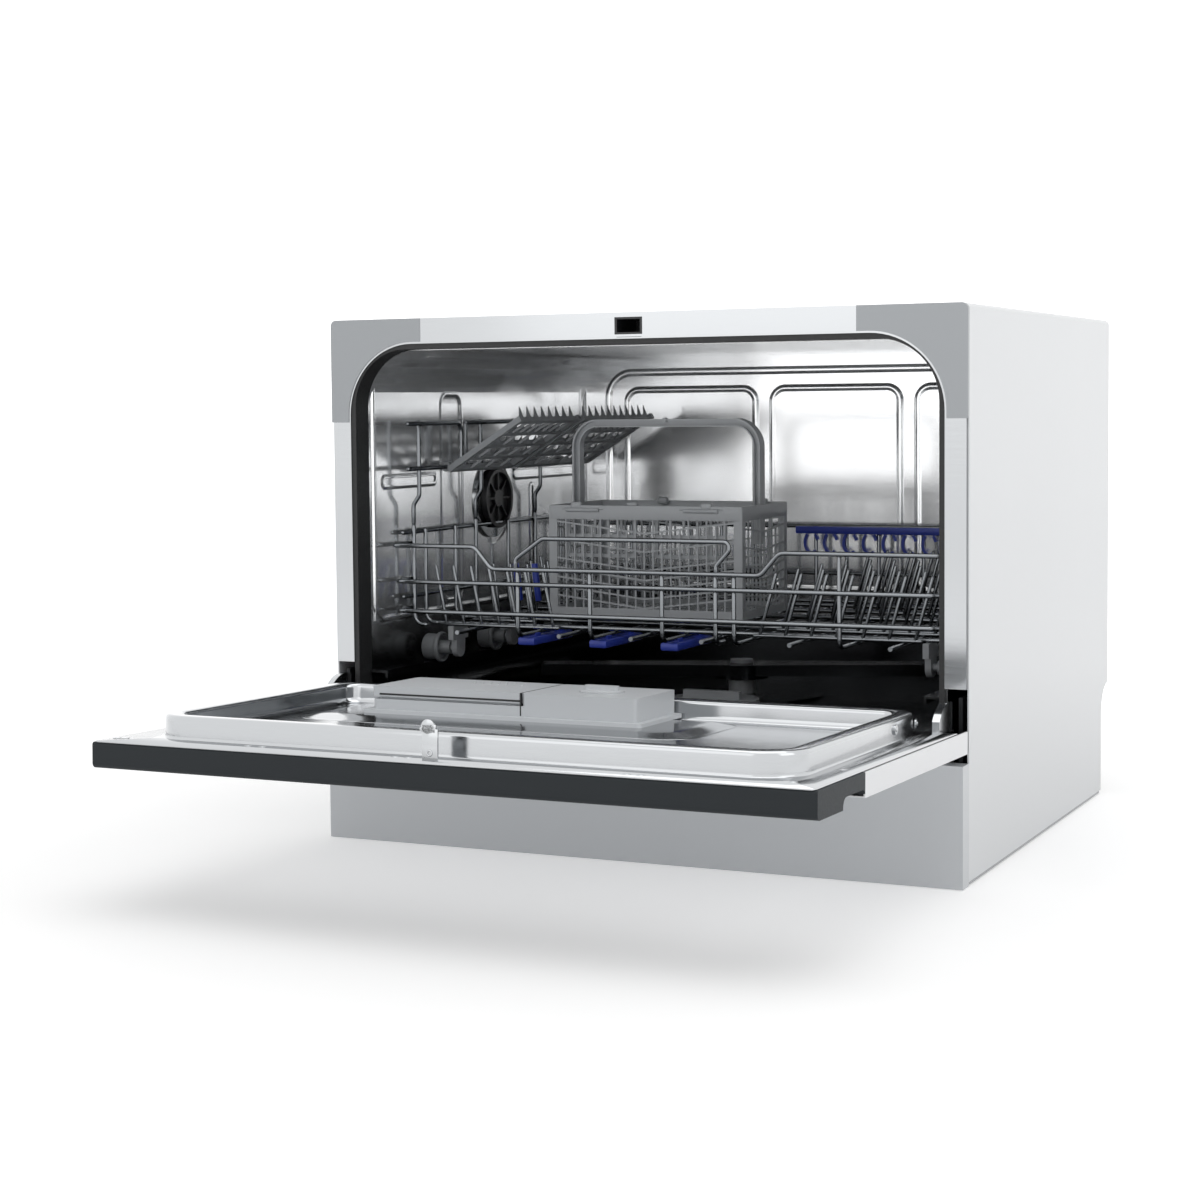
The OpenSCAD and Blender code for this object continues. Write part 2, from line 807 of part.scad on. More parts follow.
// Hinge arms inside the door and the rounded guards that stand up beside the ring
module door_arms() {
    x0 = bracket_x - 6;
    color("silver")
    on_door() both() {
        difference() {
            slab_x(x0, x0 + 3.5) {
                area(-70, -6, 1 - skin_face, flange_top - flange_sheet);
                area(-10, 10, -5, 5);
                translate([0, 0]) circle(5.8);
            }
            disc_x(x0 - 5, x0 + 10, 0, 0, hinge_pin + run_gap);
        }
        slab_x(x0 - 1.5, x0 + 4) intersection() {
            translate([0, 0]) circle(33);
            area(-26, 8, flange_top, 40);
        }
    }
}

striker_half = 6;
striker_x = -2;
striker_sheet = 2;

// Slot for the striker through the flange of the liner and the roof of the fascia
module striker_slot() {
    w = striker_half + fit_gap;
    t = striker_sheet / 2 + fit_gap;
    dbox(striker_x - w, striker_x + w, striker_at - t, striker_at + t, 0, ring_top);
}

// Hook that rises through the flange from a foot under the roof of the fascia
module striker() {
    roof = flange_top - flange_sheet - 2.5;
    foot = 1.6;
    color("silver")
    on_door() difference() {
        union() {
            dbox(striker_x - 14, striker_x + 12, striker_at - 2, striker_at + 5, roof - foot, roof);
            translate([striker_x, striker_sheet / 2 - striker_at, 0]) rotate([90, 0, 0])
                linear_extrude(striker_sheet)
                panel(-striker_half, striker_half, roof - foot, flange_top + 29, 0, 3);
        }
        dbox(striker_x - 3, striker_x + 3, striker_at - 5, striker_at + 5, flange_top + 14, flange_top + 22);
    }
}

// Dispenser: a moulded block with a compartment under a sliding lid and a rinse chamber with a cap
split_x = -37;
cap_x = 14;
cap_s = 76;
cap_radius = 17;
lid_travel = 45;

module dispenser_body() {
    color("gray")
    on_door() difference() {
        union() {
            dslab(plateau, 18, dispenser_x0 - 6, dispenser_x1 + 6, dispenser_s0 - 1, dispenser_s1 + 5, 4);
            dslab(17, 26, dispenser_x0 + 1, split_x + 5, dispenser_s0, dispenser_s1, 3);
            dslab(25, 33, dispenser_x0 + 4, split_x + 5, dispenser_s0 + 4, dispenser_s1 - 4, 3);
            dslab(18, 36, split_x + 0.4, dispenser_x1, dispenser_s0, dispenser_s1, 3);
        }
        dslab(20, 34, dispenser_x0 + 16, split_x - 22, dispenser_s0 + 14, dispenser_s1 - 14, 8);
        dpin(cap_x, cap_s, 33, 40, cap_radius + 0.4);
        dpin(cap_x, cap_s, 20, 40, 12 + run_gap);
    }
}

module dispenser_lid() {
    wall = 2.5;
    color("gray")
    on_door() difference() {
        dslab(28, 36, dispenser_x0, split_x, dispenser_s0, dispenser_s1, 3);
        dslab(27, 33.2, dispenser_x0 + wall, split_x + 5, dispenser_s0 + wall, dispenser_s1 - wall, 1);
    }
}

module rinse_cap() {
    color("dimgray")
    on_door() {
        dpin(cap_x, cap_s, 22, 34, 12);
        dpin(cap_x, cap_s, 33.2, 37, cap_radius);
        dslab(37, 41, cap_x - 14, cap_x + 14, cap_s - 3, cap_s + 3, 2.5);
    }
}

board_n = 0;

module control_board() {
    color("green")
    on_door() {
        dbox(-120, 170, button_s - 14, button_s + 14, board_n, board_n + 1.6);
        for (x = button_x) dbox(x - 4, x + 4, button_s - 4, button_s + 4, board_n - 1.3, board_n);
        for (x = [-112, 0, 162], s = [button_s - 9, button_s + 9])
            dpin(x, s, board_n + 1.6, flange_top - flange_sheet - 2.5, 3);
        dbox(window_x - 36, window_x + 36, button_s - 8, button_s + 8, board_n - 4, board_n);
    }
}

module display_window() {
    color("black")
    on_door() {
        dbox(window_x - 41.9, window_x + 41.9, button_s - 11.9, button_s + 11.9, -9, -6.5);
        dbox(window_x - 44, window_x + 44, button_s - 13.5, button_s + 13.5, -6.5, -5.5);
    }
}

module button(x) {
    color("lightgray")
    on_door() {
        dpin(x, button_s, -10, -6.4, button_radius);
        dpin(x, button_s, -6.4, -5.4, button_radius + 1.5);
        dpin(x, button_s, -5.4, board_n - 1.35 - button_travel, 2);
    }
}

module button_power() {
    button(button_x[0]);
}

module button_program() {
    button(button_x[1]);
}

module button_delay() {
    button(button_x[2]);
}

module button_start() {
    button(button_x[3]);
}

// Basket

// Place at distance f behind the front wires
function at(f) = basket_front + f;

// Place at distance f behind the front wires, for pieces that belong to the rear end
function rear(f) = basket_back - 388 + f;

// Shift of the side wires from where they would be in a cabinet 550 wide
function left(x) = x - basket_half + 247.5;
function right(x) = x + basket_half - 247.5;

side_x = basket_half;
right_x = basket_half - 3.5;
cross_f = [56, 112, 152, 218, 276, 333, 376];
long_x = [left(-190), -127, -93, -60, -27, 5, 36, 68, 112, 157, right(196)];
up_x = [-127, -60, 5, 52, 68, 157];
split_f = 18;

function cross_y(f) = f > 250 ? rear(f) : at(f);

module basket_front_grid() {
    w = wire;
    y = at(0);
    color("silver") {
        bent([
            [-side_x, at(38), high_z], [-side_x, y, high_z], [-166, y, high_z], [-150, y, high_z - 18.5],
            [92, y, high_z - 18.5], [108, y, high_z], [right_x, y, high_z], [right_x, at(split_f), high_z]
        ], w, 7);
        for (z = [mid_z, low_z])
            bent([[-side_x, at(38), z], [-side_x, y, z], [right_x, y, z], [right_x, at(split_f), z]], w, 16);
        bent([
            [-127, y, high_z - 18.5], [-127, y, 235], [-102, y, 253.5], [72, y, 253.5],
            [54, y, 233], [54, y, high_z - 18.5]
        ], w, 3.5);
        for (x = up_x) {
            z = x > 92 ? high_z : high_z - 18.5;
            bent([[x, y + upright_in, z], [x, y + upright_in, floor_z], [x, at(split_f), floor_z]], w, 8);
        }
    }
}

module basket_floor() {
    color("silver") {
        for (x = long_x) rod([x, at(split_f), floor_z], [x, rear(378), floor_z], wire);
        for (f = cross_f) rod([-side_x + 16, cross_y(f), cross_z], [side_x - 16, cross_y(f), cross_z], wire);
    }
}

module side_upright(x, y, z, reach) {
    bent([[x, y, z], [x, y, cross_z], [reach, y, cross_z]], wire, 9);
}

module basket_left() {
    x = -side_x;
    color("silver") {
        for (z = [255, 199]) {
            rod([x, at(20), z], [x, rear(386), z], wire);
        }
        for (f = cross_f) side_upright(x + upright_in, cross_y(f), f == 152 || f == 276 ? 262 : 258, x + 16);
        side_upright(x + upright_in, at(35), 262, x + 16);
    }
}

module basket_right() {
    x = right_x;
    color("silver") {
        rod([x, at(split_f), high_z], [x, rear(379), high_z], wire);
        rod([x, at(48), 200], [x, rear(379), 200], wire);
        for (f = cross_f) side_upright(x - upright_in, cross_y(f), high_z + 1.5, side_x - 16);
        side_upright(x - upright_in, at(26), high_z + 1.5, side_x - 16);
    }
}

module basket_rear() {
    y = rear(388);
    color("silver") {
        bent([[right_x, rear(379), high_z], [right_x, y, high_z], [8 - side_x, y, high_z]], wire, 8);
        bent([[right_x, rear(379), 200], [right_x, y, 200], [8 - side_x, y, 200]], wire, 8);
        for (x = long_x) bent([
            [x, rear(378), floor_z], [x, y - upright_in, floor_z], [x, y - upright_in, high_z]
        ], wire, 6);
    }
}

// One row of leaning tines on a cross wire
module tine_row(y, x0, pitch, count, lean, height) {
    z = floor_z + wire / 2 + tine_wire / 2 - 0.4;
    last = x0 + pitch * (count - 1);
    rod([x0 - 6, y, z], [last + 6, y, z], tine_wire);
    for (i = [0 : count - 1]) {
        rod([x0 + pitch * i, y, z], [x0 + pitch * i + lean, y, height], tine_wire);
    }
}

module tines_left() {
    color("silver") {
        tine_row(at(48), left(-219), 17.3, 7, -10.5, 226);
        for (f = [96, 138, 180]) tine_row(at(f), left(-213), 17.3, 4, -6, 222);
        for (f = [240, 300]) tine_row(rear(f), left(-213), 17.3, 9, -8, 222);
    }
}

module tines_right() {
    color("silver") {
        for (f = [48, 103, 163, 230]) tine_row(at(f), right(73.4), 22, 7, 14.6, 226);
        for (f = [292, 350]) tine_row(rear(f), right(73.4), 22, 7, 14.6, 226);
    }
}

// Frame for the cup shelves along the left side
frame_x = -side_x + 9.5;
pivot_x = frame_x + upright_in;
pivot_z = 311;
frame_top = 350;

module shelf_frame() {
    x = pivot_x;
    color("silver") {
        bent([[x, at(8), frame_top], [x, at(108), frame_top], [x, at(108), pivot_z], [x, at(8), pivot_z]], wire, 9);
        bent([
            [x, at(116), frame_top], [x, at(374), frame_top], [x, at(374), pivot_z], [x, at(116), pivot_z]
        ], wire, 9);
        rod([x, at(116), pivot_z], [x, at(116), frame_top], wire);
        for (y = [at(35), at(152), cross_y(276)])
            bent([
                [upright_in - side_x, y, 262], [upright_in - side_x, y, 279], [frame_x, y, 287], [frame_x, y, 353]
            ], wire, 8);
    }
}

// A cup shelf is drawn lying along X from its pivot, then turned up to its rest angle
module shelf_place() {
    translate([pivot_x, 0, pivot_z]) rotate([0, -shelf_angle, 0]) children();
}

module cup_shelf(y0, y1, clips) {
    low = -wire / 2 - 4.5;
    high = -wire / 2 - 0.3;
    root = wire / 2 + 2;
    tips = floor((y1 - y0) / 13);
    color("darkgray")
    shelf_place() difference() {
        union() {
            for (y = [y0, y1 - 5]) box(root, shelf_width, y, y + 5, low - 1, high);
            for (x = [root, shelf_width / 3, shelf_width * 0.64, shelf_width - 4])
                box(x, x + 4, y0, y1, low, high - 1.2);
            for (i = [1 : tips - 1]) box(root, shelf_width, y0 + 13 * i - 1, y0 + 13 * i + 1, low + 1.5, high);
            for (i = [0 : tips - 1]) box(shelf_width - 4, shelf_width - 1.5, y0 + 13 * i + 2, y0 + 13 * i + 7,
                high - 1.2, high + 8);
            for (y = clips) {
                translate([0, y, 0]) rotate([-90, 0, 0]) cylinder(h = 8, r = wire / 2 + 2.4);
                box(0, root + 2, y, y + 8, low + 1, high);
            }
        }
        for (y = clips) {
            translate([0, y - 1, 0]) rotate([-90, 0, 0]) cylinder(h = 10, r = wire / 2 + run_gap);
            box(-10, -wire / 2 + 0.6, y - 1, y + 9, -10, 10);
        }
    }
}

module cup_shelf_front() {
    cup_shelf(at(73), at(196), [at(78), at(128), at(176)]);
}

module cup_shelf_rear() {
    cup_shelf(at(204), at(366), [at(214), at(258), at(308), at(346)]);
}

// Row of spring clips at the rear right, guards under the front floor and sleeves on three tines
module clip_strip() {
    y = rear(388) - upright_in - wire / 2 - 4.05;
    color("navy") {
        box(-14, 232, y, y + 4, 222, 230);
        for (i = [0 : 11]) {
            x = 2 + 19.5 * i;
            difference() {
                disc_y(y, y + 4, x, 236, 8);
                disc_y(y - 1, y + 5, x, 236, 5);
                box(x + 2, x + 10, y - 1, y + 5, 233, 239);
            }
        }
    }
}

module floor_guards() {
    color("royalblue")
    for (x = [-127, -60, 5]) {
        box(x - 3, x + 3, at(20), at(98), floor_z - 10.5, floor_z - wire / 2);
        for (y = [at(20), at(55), at(90)]) difference() {
            box(x - 4, x + 4, y, y + 8, floor_z - 8, floor_z + 1.5);
            translate([x, y - 1, floor_z]) rotate([-90, 0, 0]) cylinder(h = 12, d = wire + 0.1);
            box(x - 1.9, x + 1.9, y - 1, y + 9, floor_z, floor_z + 4);
        }
    }
}

wheel_f = [60, 166, 308];
bracket_in = tub_half - 42;

module wheel_brackets() {
    color("gray")
    both() for (i = [0 : 2]) {
        y = at(wheel_f[i]);
        y0 = y - (i == 1 ? 20 : 14);
        y1 = i == 2 ? cross_y(333) + 4 : y + 14;
        z1 = cross_z - wire / 2;
        difference() {
            union() {
                box(bracket_in, bracket_in + 5, y0, y1, z1 - 12, z1);
                slab_x(bracket_in, bracket_in + 5) {
                    translate([y, wheel_axis_z]) circle(8);
                    area(y - 8, y + 8, wheel_axis_z, z1 - 6);
                }
            }
        }
        disc_x(bracket_in + 4, tub_half - 7.5, y, wheel_axis_z, axle / 2);
        disc_x(tub_half - 7.7, tub_half - 6, y, wheel_axis_z, axle / 2 + 2);
    }
}

module wheel(side, f) {
    x = tub_half - 8;
    y = at(f);
    color("darkgray")
    mirror([side < 0 ? 1 : 0, 0, 0]) difference() {
        union() {
            disc_x(x - 25, x - 16, y, wheel_axis_z, axle / 2 + 3);
            disc_x(x - 17, x - 12.3, y, wheel_axis_z, wheel_radius + 2);
            disc_x(x - 12.3 + seam, x, y, wheel_axis_z, wheel_radius);
        }
        disc_x(x - 60, x + 10, y, wheel_axis_z, axle / 2 + run_gap);
        difference() {
            disc_x(x - 9, x + 1, y, wheel_axis_z, wheel_radius - 2);
            disc_x(x - 10, x + 2, y, wheel_axis_z, axle / 2 + 2);
            for (a = [0 : 60 : 150]) translate([x - 10, y, wheel_axis_z]) rotate([a, 0, 0])
                translate([0, -20, -0.8]) cube([12, 40, 1.6]);
        }
    }
}

module wheel_left_front() {
    wheel(-1, wheel_f[0]);
}

module wheel_left_middle() {
    wheel(-1, wheel_f[1]);
}

module wheel_left_rear() {
    wheel(-1, wheel_f[2]);
}

module wheel_right_front() {
    wheel(1, wheel_f[0]);
}

module wheel_right_middle() {
    wheel(1, wheel_f[1]);
}

module wheel_right_rear() {
    wheel(1, wheel_f[2]);
}

// Cutlery basket with its hoop handle, standing on the floor wires
cut_x0 = -134;
cut_x1 = cut_x0 + cutlery_width;
cut_y0 = at(80);
cut_y1 = cut_y0 + cutlery_depth;
cut_z0 = 182;
cut_z1 = cut_z0 + cutlery_height;
lid_x = (cut_x0 + cut_x1) / 2;
lid_y = cut_y0 + cutlery_wall + 3;
lid_z = cut_z1 - 4;
lid_drop = 41;

// Windows of one wall, drawn as openings in width and height
module windows(a0, a1, z0, z1, count, bar) {
    pitch = (a1 - a0 + bar) / count;
    for (i = [0 : count - 1]) area(a0 + pitch * i, a0 + pitch * (i + 1) - bar, z0, z1);
}

module cutlery_basket() {
    w = cutlery_wall;
    z_band = cut_z1 - 16;
    low = cut_z0 + 6;
    hoop0 = (cut_y0 + cut_y1) / 2 - 9;
    hoop_top = cut_z1 + 67;
    color("gray")
    difference() {
        union() {
            difference() {
                slab_z(cut_z0, cut_z1) panel(cut_x0, cut_x1, cut_y0, cut_y1, 4, 4);
                slab_z(cut_z0 + w, cut_z1 + 1) panel(cut_x0 + w, cut_x1 - w, cut_y0 + w, cut_y1 - w, 2.2, 2.2);
                slab_y(cut_y0 - 5, cut_y1 + 5) windows(cut_x0 + 8, cut_x1 - 8, low, z_band, 9, 2);
                slab_x(cut_x0 - 5, cut_x1 + 5) windows(cut_y0 + 8, cut_y1 - 8, low, z_band, 5, 2);
                slab_z(cut_z0 - 1, cut_z0 + 5) for (i = [0 : 5])
                    windows(cut_x0 + 8, cut_x1 - 8, cut_y0 + 8 + 16.3 * i, cut_y0 + 20 + 16.3 * i, 9, 2.5);
            }
            for (y = [cut_y0 + w / 2, cut_y1 - w / 2], z = [low + 22, low + 44])
                rod([cut_x0 + 4, y, z], [cut_x1 - 4, y, z], 1.6);
            for (x = [cut_x0 + w / 2, cut_x1 - w / 2], z = [low + 22, low + 44])
                rod([x, cut_y0 + 4, z], [x, cut_y1 - 4, z], 1.6);
            slab_y(hoop0, hoop0 + 12) difference() {
                intersection() {
                    panel(cut_x0 + w + 0.6, cut_x1 - w - 0.6, z_band - 20, hoop_top + 1, 0, 22);
                    translate([lid_x, hoop_top - 482]) circle(r = 482, $fn = 96);
                }
                intersection() {
                    panel(cut_x0 + w + 7, cut_x1 - w - 7, 0, hoop_top - 6, 0, 16);
                    translate([lid_x, hoop_top - 488]) circle(r = 482, $fn = 96);
                }
            }
            for (x = [cut_x0 + w - 0.5, cut_x1 - w - 0.6])
                box(x, x + 1.1, hoop0, hoop0 + 12, z_band - 20, cut_z1 - 2);
            disc_y(hoop0 - 2, hoop0, lid_x, hoop_top - 3, 1.8);
            for (x = [cut_x0 + 30, cut_x1 - 30], y = cross_f)
                if (y > 84 && y < 186) box(x - 8, x + 8, at(y) - 3, at(y) + 3,
                    cross_z + wire / 2 + stop_gap, cut_z0);
            for (x = [cut_x0 + 12, lid_x - 8, lid_x + 5, cut_x1 - 15])
                box(x, x + 3, cut_y0 + w - 0.5, lid_y + 2, lid_z - 3, lid_z + 3);
        }
        disc_x(cut_x0 + 8, cut_x1 - 8, lid_y, lid_z, 1.5 + run_gap);
    }
}

module cutlery_lid(x0, x1) {
    low = lid_z - lid_drop;
    color("gray") {
        disc_x(x0 - 3.5, x1 + 3.5, lid_y, lid_z, 1.5);
        slab_y(lid_y - 0.9, lid_y + 0.9) difference() {
            area(x0, x1, low, lid_z);
            windows(x0 + 3, x1 - 3, low + 3, low + 17, 5, 2);
            windows(x0 + 3, x1 - 3, low + 20, low + 34, 5, 2);
        }
    }
}

module cutlery_lid_left() {
    cutlery_lid(cut_x0 + 15.5, lid_x - 8.5);
}

module cutlery_lid_right() {
    cutlery_lid(lid_x + 8.5, cut_x1 - 15.5);
}

outer_casing();
back_panel();
base_tray();
feet();
plinth_panel();
front_frame();
top_strip();
corner_trims();
tub();
wheel_rails();
door_seals();
door_lock();
vent_cap();
sump();
filter_plate();
wash_pump();
drain_pump();
inlet_valve();
drain_port();
cord_gland();
hinge_brackets();
door_panel();
control_fascia();
door_liner();
door_arms();
striker();
dispenser_body();
control_board();
display_window();
dispenser_lid();
rinse_cap();
button_power();
button_program();
button_delay();
button_start();
basket_front_grid();
basket_floor();
basket_left();
basket_right();
basket_rear();
tines_left();
tines_right();
shelf_frame();
clip_strip();
floor_guards();
wheel_brackets();
cup_shelf_front();
cup_shelf_rear();
wheel_left_front();
wheel_left_middle();
wheel_left_rear();
wheel_right_front();
wheel_right_middle();
wheel_right_rear();
cutlery_basket();
cutlery_lid_left();
cutlery_lid_right();
spray_arm();
filter_cylinder();
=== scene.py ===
# %% [markdown]
# # A countertop dishwasher with its door down
#
# The imported solid model is the frame of this scene. Every piece below sits on it, in metres. The
# first cell loads it.

import json
import math

import bmesh
import bpy
from mathutils import Matrix, Vector


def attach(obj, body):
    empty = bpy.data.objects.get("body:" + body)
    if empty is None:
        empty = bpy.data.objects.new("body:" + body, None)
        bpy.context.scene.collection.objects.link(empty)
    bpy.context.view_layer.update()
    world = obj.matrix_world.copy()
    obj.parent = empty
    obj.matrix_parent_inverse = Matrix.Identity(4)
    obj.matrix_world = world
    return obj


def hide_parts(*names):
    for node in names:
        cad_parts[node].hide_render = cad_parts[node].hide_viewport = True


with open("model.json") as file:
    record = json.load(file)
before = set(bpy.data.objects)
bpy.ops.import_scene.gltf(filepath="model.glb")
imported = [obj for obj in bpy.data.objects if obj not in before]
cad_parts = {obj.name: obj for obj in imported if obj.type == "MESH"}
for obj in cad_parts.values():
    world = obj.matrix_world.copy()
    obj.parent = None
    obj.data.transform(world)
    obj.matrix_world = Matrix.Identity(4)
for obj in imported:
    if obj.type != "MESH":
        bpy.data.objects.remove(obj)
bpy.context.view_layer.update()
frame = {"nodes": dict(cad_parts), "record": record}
nodes = frame["nodes"]

# %% [markdown]
# ## The camera
#
# The picture is seen from the right of the machine, a little above the open door. Its camera could
# be placed by eye, but a small error would shift every edge. So the place and the lens come from
# solving the corners of the cabinet and the door in the picture.

# %% Place the camera
lens_data = bpy.data.cameras.new("camera")
lens_data.lens = 68.75
lens_data.sensor_width = 36.0
lens_data.shift_x = 0.0501
lens_data.shift_y = -0.0436
camera = bpy.data.objects.new("camera", lens_data)
bpy.context.scene.collection.objects.link(camera)
right = Vector((0.8981, 0.4397, -0.0104))
down = Vector((0.0180, -0.0604, -0.9980))
ahead = Vector((-0.4395, 0.8961, -0.0622))
turn = Matrix((right, -down, -ahead)).transposed()
camera.matrix_world = Matrix.Translation((0.7388, -1.6704, 0.3652)) @ turn.to_4x4()
bpy.context.scene.camera = camera
bpy.context.scene.view_settings.view_transform = "Standard"
print("camera looks along", [round(v, 3) for v in ahead])

# %% [markdown]
# ## Helpers for shader nodes
#
# Paint and light are built from nodes. Two kinds are used again and again: a Math node, and a
# Map Range node that turns one span of numbers into another. A function for each keeps the cells
# below short.


# %% Math and Map Range nodes
def feed(tree, socket, value):
    """Links an output to a socket, or sets the socket to a plain number."""
    if isinstance(value, bpy.types.NodeSocket):
        tree.links.new(value, socket)
    else:
        socket.default_value = value


def maths(tree, operation, *values):
    """Adds a Math node and returns its output."""
    node = tree.nodes.new("ShaderNodeMath")
    node.operation = operation
    for socket, value in zip(node.inputs, values):
        feed(tree, socket, value)
    return node.outputs[0]


def ramp(tree, source, start, end, low, high, kind="LINEAR"):
    """Adds a Map Range node that turns start to end into low to high, and returns its output."""
    node = tree.nodes.new("ShaderNodeMapRange")
    node.interpolation_type = kind
    feed(tree, node.inputs["Value"], source)
    for name, value in (("From Min", start), ("From Max", end), ("To Min", low), ("To Max", high)):
        feed(tree, node.inputs[name], value)
    return node.outputs[0]


print("node helpers:", [helper.__name__ for helper in (feed, maths, ramp)])

# %% [markdown]
# ## Floor, background and lights
#
# The picture shows the machine on white paper. A curved studio sweep would do, but a flat pale
# floor under a white world is simpler and shows the soft shadow of the machine just as well.

# %% Floor plane
FLOOR_REACH, FLOOR_GAP = 6.0, 0.0006
floor_mesh = bpy.data.meshes.new("floor")
shape = bmesh.new()
bmesh.ops.create_grid(shape, x_segments=2, y_segments=2, size=FLOOR_REACH)
shape.to_mesh(floor_mesh)
shape.free()
floor = bpy.data.objects.new("floor", floor_mesh)
bpy.context.scene.collection.objects.link(floor)
floor.location.z = -FLOOR_GAP
print("the floor reaches", FLOOR_REACH, "m to each side")

# %% [markdown]
# ## Paper that fades to white
#
# A plain floor would end in a grey horizon. Here the paint glows, and glows more with distance
# from the machine. Near the machine it stays matt and keeps the shadow. Far out it is as white
# as the background, so no edge shows.

# %% Floor paint
floor_paint = bpy.data.materials.new("floor_paint")
floor_paint.use_nodes = True
tree = floor_paint.node_tree
ground = tree.nodes["Principled BSDF"]
ground.inputs["Base Color"].default_value = (0.8, 0.8, 0.8, 1)
ground.inputs["Roughness"].default_value = 0.75
ground.inputs["Specular IOR Level"].default_value = 0.2
glow = tree.nodes.new("ShaderNodeEmission")
glow.inputs["Color"].default_value = (1, 1, 1, 1)
spot = tree.nodes.new("ShaderNodeTexCoord")
reach = tree.nodes.new("ShaderNodeVectorMath")
reach.operation = "LENGTH"
tree.links.new(spot.outputs["Object"], reach.inputs[0])
rise = ramp(tree, reach.outputs["Value"], 0.35, 1.6, 0.34, 0.95)
tree.links.new(rise, glow.inputs["Strength"])
both = tree.nodes.new("ShaderNodeAddShader")
tree.links.new(ground.outputs[0], both.inputs[0])
tree.links.new(glow.outputs[0], both.inputs[1])
tree.links.new(both.outputs[0], tree.nodes["Material Output"].inputs[0])
floor_mesh.materials.append(floor_paint)
print("floor paint has", len(tree.nodes), "nodes")

# %% [markdown]
# ## White world and lamps
#
# A product photograph is lit by large soft boxes. A world of one even level could light it
# alone, but then the background would be grey and the steel dull. So there are two levels: a
# bright one that only the camera, mirrors and clear pieces see, and a low one that lights the
# rest. Three large square lamps add the shape.

# %% World with two levels
LIT_LEVEL, SEEN_LEVEL = 0.4, 1.5
world = bpy.data.worlds.new("studio")
bpy.context.scene.world = world
world.use_nodes = True
tree = world.node_tree
level = tree.nodes["Background"]
level.inputs["Color"].default_value = (1, 1, 1, 1)
level.inputs["Strength"].default_value = LIT_LEVEL
seen = tree.nodes.new("ShaderNodeBackground")
seen.inputs["Color"].default_value = (1, 1, 1, 1)
seen.inputs["Strength"].default_value = SEEN_LEVEL
ray = tree.nodes.new("ShaderNodeLightPath")
any_seen = maths(tree, "MAXIMUM", ray.outputs["Is Camera Ray"], ray.outputs["Is Glossy Ray"])
any_seen = maths(tree, "MAXIMUM", any_seen, ray.outputs["Is Transmission Ray"])
choose = tree.nodes.new("ShaderNodeMixShader")
tree.links.new(any_seen, choose.inputs[0])
tree.links.new(level.outputs[0], choose.inputs[1])
tree.links.new(seen.outputs[0], choose.inputs[2])
tree.links.new(choose.outputs[0], tree.nodes["World Output"].inputs[0])
print("world levels:", LIT_LEVEL, "lights,", SEEN_LEVEL, "is seen")


# %% Soft lamps
def soft_lamp(name, place, target, size, power):
    """A square lamp at place that shines towards target."""
    data = bpy.data.lights.new(name, "AREA")
    data.shape = "SQUARE"
    data.size = size
    data.energy = power
    lamp = bpy.data.objects.new(name, data)
    bpy.context.scene.collection.objects.link(lamp)
    lamp.location = place
    lamp.rotation_euler = (Vector(target) - Vector(place)).to_track_quat("-Z", "Y").to_euler()
    return lamp


soft_lamp("lamp_above", (0.4, -0.3, 2.4), (0, 0.1, 0.2), 2.2, 22)
soft_lamp("lamp_right", (2.6, -0.7, 1.3), (0.2, 0.1, 0.2), 1.6, 7)
soft_lamp("lamp_front", (-0.6, -2.6, 1.2), (0, 0, 0.2), 1.6, 4)

# %% [markdown]
# ## Finishes
#
# Painted sheet, brushed and polished steel, coated wire and moulded plastic all differ in the same few
# ways: how rough they are, how the roughness runs, and how much the colour and relief vary. One node
# group holds that variation. Each material places it with its own numbers and keeps its own shader.


# %% Grain shared by all finishes
def make_grain_group():
    """Noise in object coordinates, stretched by a vector, as roughness, tone and relief."""
    group = bpy.data.node_groups.new("surface_grain", "ShaderNodeTree")
    face = group.interface
    face.new_socket("Stretch", in_out="INPUT", socket_type="NodeSocketVector")
    for name, value in (("Low", 0.3), ("High", 0.4), ("Relief", 0.1)):
        face.new_socket(name, in_out="INPUT", socket_type="NodeSocketFloat").default_value = value
    face.new_socket("Roughness", in_out="OUTPUT", socket_type="NodeSocketFloat")
    face.new_socket("Tone", in_out="OUTPUT", socket_type="NodeSocketFloat")
    face.new_socket("Normal", in_out="OUTPUT", socket_type="NodeSocketVector")
    add = group.nodes.new
    link = group.links.new
    enter, leave = add("NodeGroupInput"), add("NodeGroupOutput")
    where = add("ShaderNodeTexCoord").outputs["Object"]
    scale = add("ShaderNodeVectorMath")
    scale.operation = "MULTIPLY"
    link(where, scale.inputs[0])
    link(enter.outputs["Stretch"], scale.inputs[1])
    noise = []
    for source, size, detail in ((scale.outputs[0], 1.0, 3.0), (where, 7.0, 2.0)):
        texture = add("ShaderNodeTexNoise")
        texture.inputs["Scale"].default_value = size
        texture.inputs["Detail"].default_value = detail
        link(source, texture.inputs["Vector"])
        noise.append(texture.outputs["Fac"])
    grain, broad = noise
    spread = ramp(group, grain, 0.3, 0.7, enter.outputs["Low"], enter.outputs["High"])
    link(spread, leave.inputs["Roughness"])
    tone = maths(group, "MULTIPLY_ADD", grain, 0.5, maths(group, "MULTIPLY", broad, 0.5))
    link(tone, leave.inputs["Tone"])
    bump = add("ShaderNodeBump")
    bump.inputs["Distance"].default_value = 0.0004
    link(enter.outputs["Relief"], bump.inputs["Strength"])
    link(grain, bump.inputs["Height"])
    link(bump.outputs[0], leave.inputs["Normal"])
    return group


grain_group = make_grain_group()
print("grain gives", [s.name for s in grain_group.interface.items_tree if s.in_out == "OUTPUT"])
